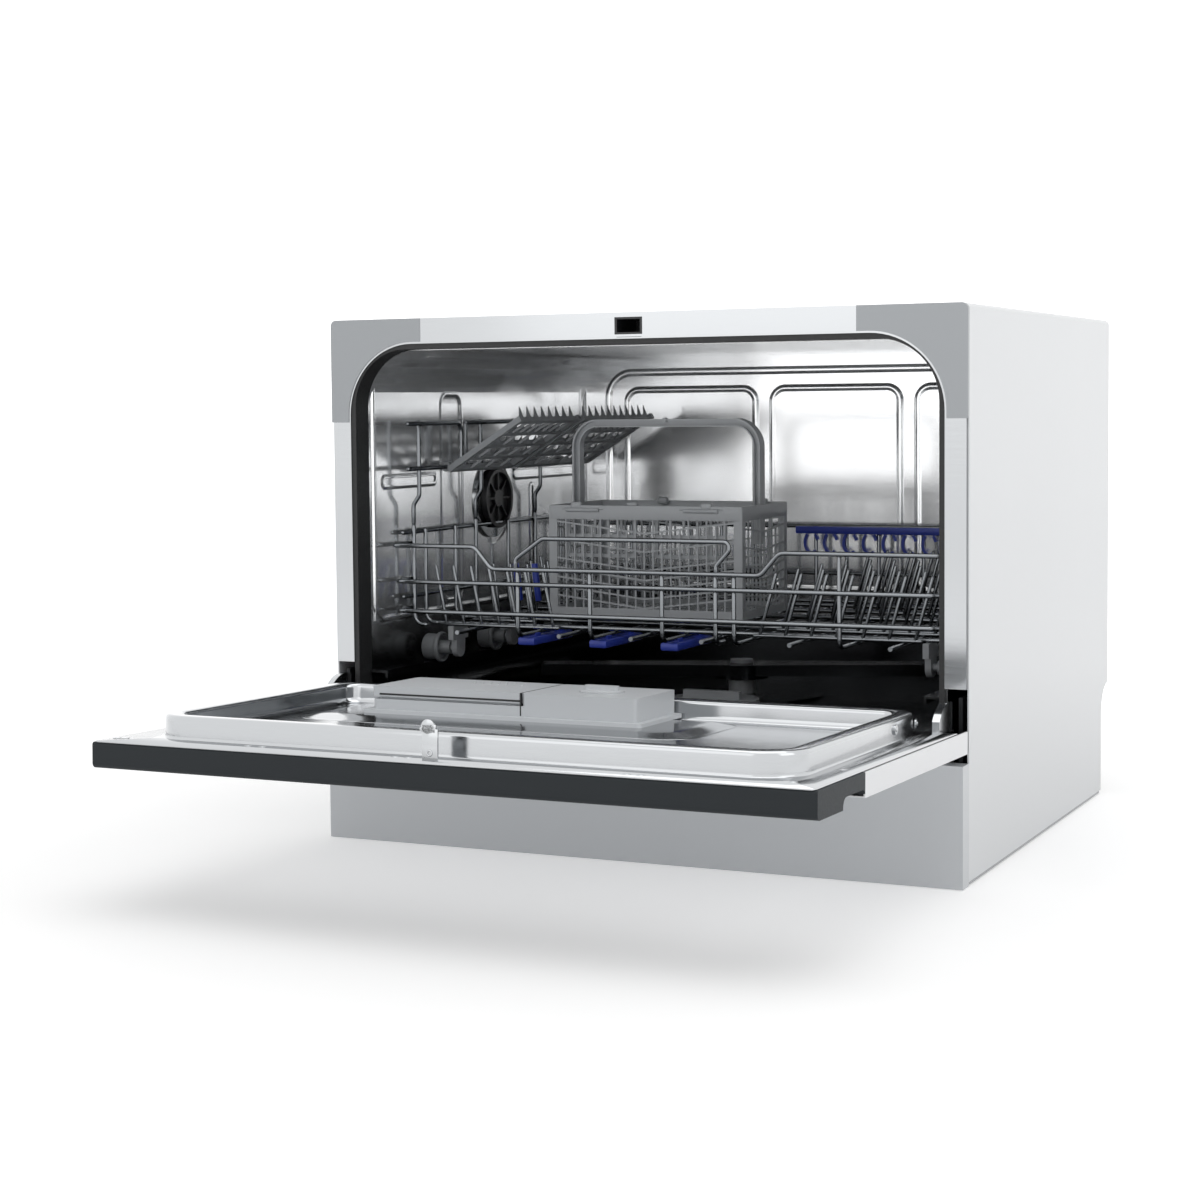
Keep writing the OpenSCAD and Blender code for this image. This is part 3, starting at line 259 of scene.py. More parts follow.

# %% [markdown]
# ## Painted shade in the tub
#
# In the picture the steel tub gets darker towards its floor and, a little, towards its left wall. That
# shade is painted into the colour of the steel. A second, darker material on the lower sheets would end
# in a hard line. A mask from the height and the place in the tub fades softly, and leaves everything in
# front of the frame alone.


# %% Mask for the painted shade of the tub
def make_painted_shade_group():
    """A painted-shade mask that falls from 1 to 0 towards the floor and the left wall of the tub."""
    group = bpy.data.node_groups.new("tub_painted_shade", "ShaderNodeTree")
    group.interface.new_socket("Mask", in_out="OUTPUT", socket_type="NodeSocketFloat")
    where = group.nodes.new("ShaderNodeTexCoord")
    part = group.nodes.new("ShaderNodeSeparateXYZ")
    group.links.new(where.outputs["Object"], part.inputs[0])
    height = ramp(group, part.outputs["Z"], 0.14, 0.215, 0.0, 1.0, "SMOOTHSTEP")
    beside = ramp(group, part.outputs["X"], -0.258, -0.1, 0.95, 1.0, "SMOOTHSTEP")
    outside = ramp(group, part.outputs["Y"], 0.004, 0.02, 1.0, 0.0)
    mask = maths(group, "MAXIMUM", maths(group, "MULTIPLY", height, beside), outside)
    leave = group.nodes.new("NodeGroupOutput")
    group.links.new(mask, leave.inputs["Mask"])
    return group


painted_shade_group = make_painted_shade_group()
print("the mask group has", len(painted_shade_group.nodes), "nodes")

# %% [markdown]
# ## One recipe for all finishes
#
# Writing out each material by hand would repeat the same dozen lines. A function takes what
# differs, such as colour, metal, roughness and grain, and connects the groups.


# %% Material from a colour and its grain
def linear(text):
    """A colour as seen on a screen, written like #8a8d90, as the linear numbers shaders want."""
    parts = [int(text[i : i + 2], 16) / 255 for i in (1, 3, 5)]
    return [p / 12.92 if p <= 0.04045 else ((p + 0.055) / 1.055) ** 2.4 for p in parts]


def finish(name, colour, metal, low, high, stretch, relief=0.1, tone=0.06, coat=0.0, deep=""):
    """A material whose roughness, between low and high, and whose tone and relief follow the grain.

    Deep is the colour of the painted shade that it fades to low in the tub.
    """
    material = bpy.data.materials.new(name)
    material.use_nodes = True
    tree = material.node_tree
    shader = tree.nodes["Principled BSDF"]
    grain = tree.nodes.new("ShaderNodeGroup")
    grain.node_tree = grain_group
    grain.inputs["Stretch"].default_value = stretch
    grain.inputs["Low"].default_value = low
    grain.inputs["High"].default_value = high
    grain.inputs["Relief"].default_value = relief
    base = linear(colour)
    blend = tree.nodes.new("ShaderNodeMix")
    blend.data_type = "RGBA"
    blend.inputs[6].default_value = [c * (1 - tone) for c in base] + [1]
    blend.inputs[7].default_value = [min(1, c * (1 + tone)) for c in base] + [1]
    tree.links.new(grain.outputs["Tone"], blend.inputs[0])
    tree.links.new(blend.outputs[2], shader.inputs["Base Color"])
    # Painted shade: the colour fades to deep towards the floor and the left wall of the tub.
    if deep:
        depth = tree.nodes.new("ShaderNodeGroup")
        depth.node_tree = painted_shade_group
        fade = tree.nodes.new("ShaderNodeMix")
        fade.data_type = "RGBA"
        fade.inputs[6].default_value = linear(deep) + [1]
        tree.links.new(depth.outputs["Mask"], fade.inputs[0])
        tree.links.new(blend.outputs[2], fade.inputs[7])
        tree.links.new(fade.outputs[2], shader.inputs["Base Color"])
    tree.links.new(grain.outputs["Roughness"], shader.inputs["Roughness"])
    tree.links.new(grain.outputs["Normal"], shader.inputs["Normal"])
    shader.inputs["Metallic"].default_value = metal
    shader.inputs["Coat Weight"].default_value = coat
    material.diffuse_color = base + [1]
    return material


print("a mid grey in linear numbers:", [round(v, 3) for v in linear("#808080")])

# %% [markdown]
# ## The finishes of this machine
#
# White and grey painted sheet, bare and polished steel, coated wire, and moulded plastic in black,
# grey, ivory and blue. The colours were matched by number to the picture. Fine plastic has a small even
# grain, and brushed steel one that is stretched along the sheet.

# %% Finishes by name
FINE = (900, 900, 900)
FINISHES = {}
for name, *numbers in (
    ("white_paint", "#e1e2e4", 0, 0.30, 0.38, FINE, 0.05, 0.02, 0.1),
    ("zinc_sheet", "#a2a4a6", 0.8, 0.38, 0.5, (60, 60, 60), 0.03, 0.12),
    ("dark_plastic", "#2b2d2f", 0, 0.45, 0.6, FINE, 0.2),
    ("black_rubber", "#141516", 0, 0.5, 0.65, (700, 700, 700), 0.2),
    ("polished_steel", "#b2b4b6", 1, 0.12, 0.15, (40, 40, 900), 0.0, 0.02),
    ("trim_paint", "#96999c", 0.35, 0.3, 0.4, FINE, 0.06, 0.04),
    # satin_steel fades to #27292b low in the tub, a painted shade.
    ("satin_steel", "#fafbfc", 0.85, 0.14, 0.18, (50, 50, 700), 0.0, 0.01, 0.0, "#27292b"),
    ("bare_steel", "#aeb0b2", 1, 0.12, 0.16, (60, 60, 500), 0.0, 0.02),
    ("black_plastic", "#17181a", 0, 0.35, 0.5, FINE, 0.15),
    ("grey_plastic", "#a7aaad", 0, 0.4, 0.52, FINE, 0.15, 0.05),
    ("dispenser_plastic", "#d6d9dc", 0, 0.34, 0.45, FINE, 0.12, 0.04),
    ("ivory_plastic", "#d9d4c4", 0, 0.4, 0.5, FINE, 0.1),
    ("fascia_plastic", "#262a2d", 0, 0.5, 0.58, FINE, 0.1, 0.04),
    ("board_green", "#1f5a33", 0, 0.3, 0.45, (500, 500, 500), 0.1),
    ("button_plastic", "#9ea1a3", 0, 0.25, 0.35, FINE, 0.05),
    ("basket_wire", "#7b7e81", 1, 0.2, 0.24, (300, 300, 300), 0.0, 0.02),
    ("blue_plastic", "#3448b2", 0, 0.32, 0.42, FINE, 0.1, 0.08),
):
    FINISHES[name] = finish(name, *numbers)
fascia_shader = FINISHES["fascia_plastic"].node_tree.nodes["Principled BSDF"]
fascia_shader.inputs["Specular IOR Level"].default_value = 0.2
# The casing and the plinth are white paint like the rest, but get darker copies of it: painted shade,
# deepest on the front of the plinth.
CASING_SHADED_PAINT = finish("casing_shaded_paint", "#d0d2d4", 0, 0.30, 0.38, FINE, 0.05, 0.02, 0.1)
PLINTH_SHADED_PAINT = finish("plinth_shaded_paint", "#c3c6c9", 0, 0.32, 0.4, FINE, 0.05, 0.02, 0.15)
# A darker copy of the grey plastic, a painted shade, for the cup shelves and the wheels.
SHADED_GREY_PLASTIC = finish("shaded_grey_plastic", "#8b8e91", 0, 0.4, 0.5, FINE, 0.15, 0.05)
# A dark metal for the hinge brackets paints the shade of the cavity around the hinge.
HINGE_SHADE_METAL = finish("hinge_shade_metal", "#232527", 0.6, 0.4, 0.5, (300, 300, 300), 0.05, 0.05)
print(len(FINISHES), "finishes")

# %% Dress the solids
SLOT_OF = {p["node"]: p["material_slot"] for p in frame["record"]["subparts"]}


def dress(obj, slot):
    """Gives every material slot of an object the finish of that name."""
    if not obj.data.materials:
        obj.data.materials.append(FINISHES[slot])
    for i in range(len(obj.data.materials)):
        obj.data.materials[i] = FINISHES[slot]


for node_name, node in nodes.items():
    dress(node, SLOT_OF[node_name])
# These solids get the darker copies above, as painted shade.
PAINTED_SHADE_OF = {"outer_casing": CASING_SHADED_PAINT, "plinth_panel": PLINTH_SHADED_PAINT, "hinge_brackets": HINGE_SHADE_METAL}
for node_name, paint in PAINTED_SHADE_OF.items():
    nodes[node_name].data.materials[0] = paint
print("dressed", len(nodes), "solids with", len(set(SLOT_OF.values())), "finishes")

# %% [markdown]
# ## Helpers for pieces
#
# A piece is made in millimetres, where the sizes read as on a drawing, and becomes metres when it
# is finished. Pieces of the door are made flat, as if the door lay level with its hinge at the
# origin, and one matrix then lays them on the open door.

# %% Millimetres and the open door
MM = 0.001
HINGE_Y, HINGE_Z, DOOR_TILT = -12, 108, -1.4
DOOR = Matrix.Translation((0, HINGE_Y, HINGE_Z)) @ Matrix.Rotation(math.radians(DOOR_TILT), 4, "X")
print("a point 320 mm out on the door lies at", [round(v, 1) for v in DOOR @ Vector((0, -320, 0))])


# %% Blocks and struts
def block(shape, low, high):
    """Adds a box between two corners and returns its points."""
    made = bmesh.ops.create_cube(shape, size=1.0)["verts"]
    size = Vector(high) - Vector(low)
    bmesh.ops.scale(shape, vec=size, verts=made)
    bmesh.ops.translate(shape, vec=Vector(low) + size / 2, verts=made)
    return made


def strut(shape, start, end, width, depth, side=(0, 1, 0)):
    """Adds a bar from start to end. Its depth runs along side and its width across that."""
    start, end, side = Vector(start), Vector(end), Vector(side)
    run = (end - start).normalized()
    across = run.cross(side).normalized()
    made = bmesh.ops.create_cube(shape, size=1.0)["verts"]
    bmesh.ops.scale(shape, vec=((end - start).length, width, depth), verts=made)
    place = Matrix((run, across, run.cross(across))).transposed().to_4x4()
    place.translation = (start + end) / 2
    bmesh.ops.transform(shape, matrix=place, verts=made)
    return made


shape = bmesh.new()
strut(shape, (0, 0, 0), (30, 0, 40), 2, 2)
print("a strut has", len(shape.faces), "faces")
shape.free()


# %% Tubes and rounded edges
def tube(shape, start, end, radius, sides=24, inner=0.0):
    """Adds a round bar, or a pipe where inner is above 0."""
    start, end = Vector(start), Vector(end)
    turn = (end - start).to_track_quat("Z", "Y").to_matrix().to_4x4()
    turn.translation = (start + end) / 2
    made = bmesh.ops.create_cone(shape, cap_ends=True, segments=sides, radius1=radius, radius2=radius,
                                 depth=(end - start).length, matrix=turn)["verts"]
    if inner:
        near = dict.fromkeys(f for v in made for f in v.link_faces)
        caps = [f for f in near if len(f.verts) == sides]
        bmesh.ops.inset_region(shape, faces=caps[:1], thickness=radius - inner)
        bmesh.ops.inset_region(shape, faces=caps[1:], thickness=radius - inner)
        rims = [list(f.edges) for f in caps]
        bmesh.ops.delete(shape, geom=caps, context="FACES_ONLY")
        bmesh.ops.bridge_loops(shape, edges=rims[0] + rims[1])
    return made


def soften(shape, size, segments=2, angle=30):
    """Rounds every edge that turns by more than the angle."""
    limit = math.radians(angle)
    sharp = [e for e in shape.edges if len(e.link_faces) == 2 and e.calc_face_angle(0) > limit]
    bmesh.ops.bevel(shape, geom=sharp, offset=size, affect="EDGES", segments=segments, profile=0.5,
                    material=-1, clamp_overlap=True)


shape = bmesh.new()
tube(shape, (0, 0, 0), (0, 0, 10), 4, inner=3)
print("a short pipe has", len(shape.faces), "faces")
shape.free()


# %% Finished pieces
def piece(name, shape, slot, body, replaces=(), place=None, thickness=0.0):
    """Turns a shape in millimetres into a finished object that rides on a body."""
    if place:
        bmesh.ops.transform(shape, matrix=place, verts=shape.verts)
    bmesh.ops.scale(shape, vec=(MM, MM, MM), verts=shape.verts)
    mesh = bpy.data.meshes.new(name)
    shape.to_mesh(mesh)
    shape.free()
    mesh.polygons.foreach_set("use_smooth", [True] * len(mesh.polygons))
    mesh.set_sharp_from_angle(angle=math.radians(40))
    obj = bpy.data.objects.new(name, mesh)
    bpy.context.scene.collection.objects.link(obj)
    dress(obj, slot)
    if thickness:
        wall = obj.modifiers.new("sheet", "SOLIDIFY")
        wall.thickness = thickness * MM
        wall.offset = -1
    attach(obj, body)
    if replaces:
        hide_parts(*replaces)
    print(name, len(mesh.polygons), "faces")
    return obj


print("slots:", sorted(set(SLOT_OF.values())))

# %% [markdown]
# ## Bent wire
#
# Wire for a basket is bent over a round pin, so every corner is an arc. A mesh tube along the
# path would be heavy to change. A curve with a round bevel stays a list of corners, and the
# renderer makes the tube. Free ends are ground to a dome.


# %% Corners as arcs
def rounded_path(points, bend):
    """The points of a run in millimetres, with every corner turned into an arc of that radius."""
    points = [Vector(p) for p in points]
    path = [points[0]]
    for before, corner, after in zip(points, points[1:], points[2:]):
        u, v = (corner - before).normalized(), (after - corner).normalized()
        angle = u.angle(v)
        if angle < 0.01:
            continue
        tangent = bend * math.tan(angle / 2)
        centre = corner + (v - u).normalized() * bend / math.cos(angle / 2)
        arm = corner - u * tangent - centre
        axis = u.cross(v).normalized()
        steps = max(3, int(angle / 0.2))
        path += [centre + Matrix.Rotation(angle * i / steps, 3, axis) @ arm for i in range(steps + 1)]
    return path + [points[-1]]


corner = rounded_path([(0, 0, 0), (50, 0, 0), (50, 50, 0)], 9)
print("a right angle becomes", len(corner), "points")


# %% Wires from paths
DOME = (0.12, 0.5, 0.95, 1.4)


def wires(name, runs, thickness, body, slot="basket_wire", replaces=(), round_ends=True):
    """A curve object with one round wire for each run of (points, bend radius), in millimetres."""
    curve = bpy.data.curves.new(name, "CURVE")
    curve.dimensions = "3D"
    curve.bevel_depth = thickness / 2 * MM
    curve.bevel_resolution = 2
    curve.use_fill_caps = True
    half = thickness / 2
    for points, bend in runs:
        path = rounded_path(points, bend)
        radii = [1.0] * len(path)
        if round_ends:
            for _ in range(2):  # each time the first end gets its dome, then the run is turned round
                inward = (path[1] - path[0]).normalized()
                path[:1] = [path[0] + inward * half * (1 - math.cos(a)) for a in DOME]
                radii[:1] = [math.sin(a) for a in DOME]
                path.reverse()
                radii.reverse()
        spline = curve.splines.new("POLY")
        spline.points.add(len(path) - 1)
        for point, where, radius in zip(spline.points, path, radii):
            point.co = (*(where * MM), 1)
            point.radius = radius
        spline.use_smooth = True
    obj = bpy.data.objects.new(name, curve)
    bpy.context.scene.collection.objects.link(obj)
    dress(obj, slot)
    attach(obj, body)
    if replaces:
        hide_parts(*replaces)
    print(name, len(runs), "wires")
    return obj


print("a dome has", len(DOME), "rings")

# %% [markdown]
# ## The wire basket
#
# The basket is welded from coated wire 4 mm thick, with thinner tines. Each run is listed by its
# corners and one bend radius, as on a bending bench. That is short to write, and it is how the
# real wires are made. Depths are counted from the front wires, which stand 48 mm behind the
# frame when the basket is pushed in.

# %% Places on the basket
FRONT = 48.0
REAR = 436.0
SIDE = 247.5
RIGHT = 244.0
RIM_Z, DIP_Z, FLOOR_Z, CROSS_Z = 245.5, 227, 170.5, 174
WIRE, TINE_WIRE = 4, 3.2
CROSS = [56, 112, 152, 218, 276, 333, 376]
LONG = [-190, -127, -93, -60, -27, 5, 36, 68, 112, 157, 196]


def at(depth):
    """Distance behind the frame of a place that is so far behind the front wires."""
    return FRONT + depth


print("the basket is", REAR - FRONT, "mm deep and", RIM_Z - FLOOR_Z, "mm high at its rim")

# %% Front wires with the dip and the handle
front = [
    ([(-SIDE, at(38), RIM_Z), (-SIDE, FRONT, RIM_Z), (-166, FRONT, RIM_Z), (-150, FRONT, DIP_Z),
      (92, FRONT, DIP_Z), (108, FRONT, RIM_Z), (RIGHT, FRONT, RIM_Z), (RIGHT, at(336), RIM_Z)], 9),
    ([(-127, FRONT, DIP_Z), (-127, FRONT, 236), (-102, FRONT, 253.5), (72, FRONT, 253.5),
      (54, FRONT, 234), (54, FRONT, DIP_Z)], 5),
]
for z in (214.5, 189):
    front.append(([(-SIDE, at(38), z), (-SIDE, FRONT, z), (RIGHT, FRONT, z), (RIGHT, at(18), z)], 16))
for x in (-127, -60, 5, 52, 68, 157):
    z = RIM_Z if x > 92 else DIP_Z
    front.append(([(x, FRONT + 3.6, z), (x, FRONT + 3.6, FLOOR_Z), (x, at(24), FLOOR_Z)], 8))
wires("basket_front_wires", front, WIRE, "basket", replaces=["basket_front_grid"])

# %% Floor wires
floor_runs = [([(x, at(12), FLOOR_Z), (x, at(378), FLOOR_Z)], 0) for x in LONG]
floor_runs += [([(-SIDE + 16, at(f), CROSS_Z), (SIDE - 16, at(f), CROSS_Z)], 0) for f in CROSS]
wires("basket_floor_wires", floor_runs, WIRE, "basket", replaces=["basket_floor"], round_ends=False)

# %% Side and rear wires
left_runs = [([(-SIDE, at(20), z), (-SIDE, at(386), z)], 0) for z in (255, 199)]
for f in [35] + CROSS:
    peak = 262 if f in (35, 152, 276) else 258
    left_runs.append(([(-244, at(f), peak), (-244, at(f), CROSS_Z), (-SIDE + 16.5, at(f), CROSS_Z)], 9))
wires("basket_left_wires", left_runs, WIRE, "basket", replaces=["basket_left"])
right_runs = [([(RIGHT, at(48), 200), (RIGHT, at(380), 200)], 0),
              ([(RIGHT, at(330), RIM_Z), (RIGHT, at(379), RIM_Z)], 0)]
for f in [26] + CROSS:
    foot = (SIDE - 16.5, at(f), CROSS_Z)
    right_runs.append(([(240.5, at(f), 247), (240.5, at(f), CROSS_Z), foot], 9))
wires("basket_right_wires", right_runs, WIRE, "basket", replaces=["basket_right"])
rear_runs = [([(RIGHT, at(379), z), (RIGHT, REAR, z), (8 - SIDE, REAR, z)], 8) for z in (RIM_Z, 200)]
for x in LONG:
    rear_runs.append(([(x, at(376), FLOOR_Z), (x, REAR - 3.5, FLOOR_Z), (x, REAR - 3.5, 246)], 6))
wires("basket_rear_wires", rear_runs, WIRE, "basket", replaces=["basket_rear"])

# %% [markdown]
# ## Tines
#
# Plates stand between rows of thin leaning wires. All rows are alike: one cross wire with tines
# at an even pitch. So one function makes a row, and each row differs only in its numbers.


# %% Rows of tines
def tine_runs(depth, first, pitch, count, lean, peak):
    """The cross wire of one row and its leaning tines."""
    y, z = at(depth), 173.6
    runs = [([(first - 6, y, z), (first + pitch * (count - 1) + 6, y, z)], 0)]
    for i in range(count):
        x = first + pitch * i
        runs.append(([(x, y, z), (x + lean, y, peak)], 0))
    return runs


rows = tine_runs(48, -219, 17.3, 7, -10.5, 226)
for depth in (96, 138, 180):
    rows += tine_runs(depth, -213, 17.3, 4, -6, 222)
for depth in (240, 300):
    rows += tine_runs(depth, -213, 17.3, 9, -8, 222)
wires("left_tines", rows, TINE_WIRE, "basket", replaces=["tines_left"])
rows = []
for depth in (48, 103, 163, 230, 292, 350):
    rows += tine_runs(depth, 73.4, 22, 7, 14.6, 226)
wires("right_tines", rows, TINE_WIRE, "basket", replaces=["tines_right"])

# %% [markdown]
# ## Frame of the cup shelves
#
# The shelves hang on a rail above the left wall of the basket. It is bent from the same wire: two
# long loops, held up by three posts with a small crank. So the same function makes it.

# %% Rail and posts of the shelves
RAIL_X, PIVOT_Z, RAIL_TOP = -234.5, 311.0, 350.0
shelf_runs = [([(RAIL_X, at(8), RAIL_TOP), (RAIL_X, at(108), RAIL_TOP), (RAIL_X, at(108), PIVOT_Z),
                (RAIL_X, at(8), PIVOT_Z)], 9),
              ([(RAIL_X, at(116), RAIL_TOP), (RAIL_X, at(374), RAIL_TOP), (RAIL_X, at(374), PIVOT_Z),
                (RAIL_X, at(116), PIVOT_Z)], 9),
              ([(RAIL_X, at(116), PIVOT_Z), (RAIL_X, at(116), RAIL_TOP)], 0)]
for f in (35, 152, 276):
    crank = [(-244, at(f), 279), (-238, at(f), 287)]
    shelf_runs.append(([(-244, at(f), 261), *crank, (-238, at(f), 353)], 8))
wires("shelf_frame_wires", shelf_runs, WIRE, "basket", replaces=["shelf_frame"])

# %% [markdown]
# ## Pressed sheet
#
# The door liner and the tub are pressed from steel sheet, so every edge is a fillet. A rounded
# outline is a circle pulled apart into four corners. Copies of it at other heights, each moved
# inwards a little, are bridged into the slope of a fillet.


# %% Outlines and slopes
def outline(shape, box, z, low, high=None, sides=48):
    """Adds a rounded box (x0, x1, y0, y1) at height z, with corner radii low at y0 and high at y1."""
    high = low if high is None else high
    x0, x1, y0, y1 = box
    made = bmesh.ops.create_circle(shape, segments=sides, radius=1 / math.cos(math.pi / sides))["verts"]
    bmesh.ops.rotate(shape, verts=made, matrix=Matrix.Rotation(math.pi / sides, 3, "Z"))
    for v in made:
        r = high if v.co.y > 0 else low
        v.co *= r
        v.co.x += x1 - r if v.co.x > 0 else x0 + r
        v.co.y += y1 - r if v.co.y > 0 else y0 + r
        v.co.z = z
    return list(dict.fromkeys(e for v in made for e in v.link_edges))


def slope(shape, box, profile, low, high=None, sides=48):
    """Bridges outlines of a box along a profile of (inset, height). Returns the first and the last."""
    high = low if high is None else high
    x0, x1, y0, y1 = box
    loops = []
    for inset, z in profile:
        inner = (x0 + inset, x1 - inset, y0 + inset, y1 - inset)
        loops.append(outline(shape, inner, z, max(low - inset, 0.5), max(high - inset, 0.5), sides))
    for a, b in zip(loops, loops[1:]):
        bmesh.ops.bridge_loops(shape, edges=a + b)
    return loops[0], loops[-1]


def fill(shape, loop):
    """Closes a loop of edges with one face."""
    bmesh.ops.edgeloop_fill(shape, edges=loop)


def face_up(shape, direction=(0, 0, 1)):
    """Turns the normals of an open sheet so that most of its area looks along the direction."""
    bmesh.ops.remove_doubles(shape, verts=shape.verts, dist=0.01)
    bmesh.ops.recalc_face_normals(shape, faces=shape.faces)
    if sum(f.normal.dot(Vector(direction)) * f.calc_area() for f in shape.faces) < 0:
        bmesh.ops.reverse_faces(shape, faces=shape.faces)


shape = bmesh.new()
slope(shape, (0, 40, 0, 30), [(0, 0), (1, 2)], 5)
print("one step of a slope has", len(shape.faces), "faces")
shape.free()

# %% [markdown]
# ## Door liner
#
# The inner side of the door is one pressed sheet: a flat border, a ring that stands up and holds
# the water in, and a pan inside it. It could be sculpted, but the profile across the ring is the
# same all the way round. So that profile is written once and swept round the ring.

# %% Sheet of the door liner
RING = (-249, 249, -298, -20)
RING_RISE = [(-0.8, 11.0), (-0.4, 11.15), (-0.05, 11.6), (0.1, 12.2), (0.2, 13.4), (0.3, 24.9),
             (0.6, 26.5), (1.4, 27.5), (2.5, 28.0), (3.9, 28.2), (9.9, 28.2), (11.4, 28.0),
             (12.6, 27.5), (13.5, 26.5), (13.8, 24.9), (13.8, 17), (14.2, 14.8), (15.4, 13.2),
             (17, 12.3), (19.5, 12)]
BORDER, BORDER_Z = (-273.4, 273.4, -328, -9.5), 11.0
shape = bmesh.new()
foot, pan_edge = slope(shape, RING, RING_RISE, 34, 26)
rim = outline(shape, BORDER, BORDER_Z, 3)
bmesh.ops.triangle_fill(shape, use_beauty=True, edges=rim + foot)
fill(shape, pan_edge)
face_up(shape)
piece("door_liner_sheet", shape, "bare_steel", "door", replaces=["door_liner"], place=DOOR,
      thickness=1.0)

# %% Strip between the border and the hinge
shape = bmesh.new()
block(shape, (-264.4, -10, 10.0), (264.4, 11, 11.0))
piece("door_liner_hinge_strip", shape, "bare_steel", "door", place=DOOR)

# %% [markdown]
# ## Plateau and screws
#
# The dispenser sits on a low step pressed into the pan. It is the same kind of slope as the ring.
# Flat screws hold the liner to the outer door: a wide disc with a small raised centre is enough
# at this size.

# %% Low plateau under the dispenser
shape = bmesh.new()
PLATEAU_RISE = [(0, 12.05), (2, 12.1), (6, 12.6), (16, 14.5), (20, 14.9), (24, 15.0)]
_, top_edge = slope(shape, (-224, 116, -152, -34.5), PLATEAU_RISE, 30, 26)
fill(shape, top_edge)
face_up(shape)
piece("door_plateau", shape, "bare_steel", "door", place=DOOR, thickness=0.8)

# %% Screws of the door
shape = bmesh.new()
for x, s in ((260.5, 236), (250.5, 304), (-269, 306.5), (-263, 304.5), (-157, 304.5), (-145, 304.5),
             (-34.5, 310), (-24, 310), (142, 318), (152, 318)):
    tube(shape, (x, -s, 10.9), (x, -s, 11.2), 3.0, 20)
    tube(shape, (x, -s, 11.1), (x, -s, 11.3), 1.5, 12)
for side in (-1, 1):
    for s, n in ((86, 20.5), (35, 19.5)):
        tube(shape, (side * 248.6, -s, n), (side * 250.0, -s, n), 3.6, 24)
        tube(shape, (side * 249.8, -s, n), (side * 250.5, -s, n), 1.6, 12)
soften(shape, 0.3, 1)
piece("door_screws", shape, "polished_steel", "door", place=DOOR)

# %% [markdown]
# ## Cutlery basket
#
# Its walls are a lattice of thin upright bars crossed by shallow chevrons, inside a frame with a
# broad rim. Every second bar starts at the first chevron, as in the picture. Holes could be cut
# into a plate, but bars laid over each other give the same look and are simple to write.

# %% Size of the cutlery basket
CUTLERY_BOX = (-134.0, 46.0, 128.0, 238.0, 182.0, 278.0)
CHEVRONS = (254.0, 238.2, 222.2, 213.8, 205.7, 197.7, 189.6)
print("it measures", [CUTLERY_BOX[i + 1] - CUTLERY_BOX[i] for i in (0, 2, 4)], "mm")


# %% Lattice walls
def lattice(shape, origin, along, width, bars, drop):
    """One wall: along is its unit direction, drop the depth of the chevrons."""
    origin, along = Vector(origin), Vector(along)
    out = along.cross(Vector((0, 0, 1)))
    up = Vector((0, 0, 1))
    low, high, z0, z1 = 7.5, width - 7.5, CUTLERY_BOX[4], CUTLERY_BOX[5]

    def bar(a, b, wide, deep):
        start, end = (origin + along * run + up * height for run, height in (a, b))
        strut(shape, start, end, wide, deep, out)

    bar((0.4, z1 - 7), (width - 0.4, z1 - 7), 9.0, 1.8)
    bar((0.5, z0 + 3.7), (width - 0.5, z0 + 3.7), 7.0, 1.7)
    long_wall = width > 150  # a little thinner at its ends, so that the corners don't share a face
    for a in (low / 2, width - low / 2):
        bar((a, z0), (a, z1 - 0.4), low - 0.4 * long_wall, 2.2 - 0.25 * long_wall)
    pitch = (high - low) / (bars + 1)
    middle = width / 2
    for i in range(bars):
        a = low + pitch * (i + 1)
        peak = z1 - 11 if i % 2 == 0 else CHEVRONS[0] + drop * abs(a - middle) / middle
        bar((a, z0 + 6), (a, peak), 1.4, 1.3)
    for z in CHEVRONS:
        lift = drop * (middle - low) / middle
        bar((low - 0.5, z + lift), (middle + 0.3, z), 1.4, 1.95)
        bar((middle - 0.3, z), (high + 0.5, z + lift), 1.4, 1.9)


shape = bmesh.new()
x0, x1, y0, y1, z0, z1 = CUTLERY_BOX
for y in (y0 + 1.1, y1 - 1.1):
    lattice(shape, (x0 + 0.3, y, 0), (1, 0, 0), x1 - x0 - 0.6, 19, 11)
for x in (x0 + 1.1, x1 - 1.1):
    lattice(shape, (x, y0 + 0.3, 0), (0, 1, 0), y1 - y0 - 0.6, 9, 6)
for i in range(18):
    x = x0 + 8 + i * (x1 - x0 - 16) / 17
    strut(shape, (x, y0 + 2, z0 + 1.2), (x, y1 - 2, z0 + 1.2), 2.4, 3, (1, 0, 0))
for i in range(11):
    y = y0 + 8 + i * (y1 - y0 - 16) / 10
    strut(shape, (x0 + 2, y, z0 + 1.2), (x1 - 2, y, z0 + 1.2), 2.2, 3)
for f in (112, 152):
    for x in (x0 + 30, x1 - 30):
        block(shape, (x - 8, at(f) - 3, 176.1), (x + 8, at(f) + 3, z0 + 0.5))
for x in (x0 + 12, -52, -39, x1 - 15):
    block(shape, (x, y0 + 2, 271), (x + 3, 134.8, 277))
piece("cutlery_walls", shape, "grey_plastic", "cutlery", replaces=["cutlery_basket"])

# %% [markdown]
# ## Rim and hoop
#
# The rim is a band with a rounded top. The hoop is a moulded arch with the section of a lying H,
# stiff and light. Both are slopes: the hoop is a whole rounded ring, curved a little at its top,
# cut off at the rim and stood upright.

# %% Rim
RIM_RISE = [(0.2, 265.8), (0, 266.3), (0, 277.2), (0.4, 277.9), (1.2, 278), (2.2, 277.9), (2.7, 277.2),
            (2.7, 265.8)]
shape = bmesh.new()
rim_box = (x0 - 0.25, x1 + 0.25, y0 - 0.25, y1 + 0.25)
outer, inner = slope(shape, rim_box, RIM_RISE, 3.5)
bmesh.ops.bridge_loops(shape, edges=outer + inner)
bmesh.ops.recalc_face_normals(shape, faces=shape.faces)
piece("cutlery_rim", shape, "grey_plastic", "cutlery")

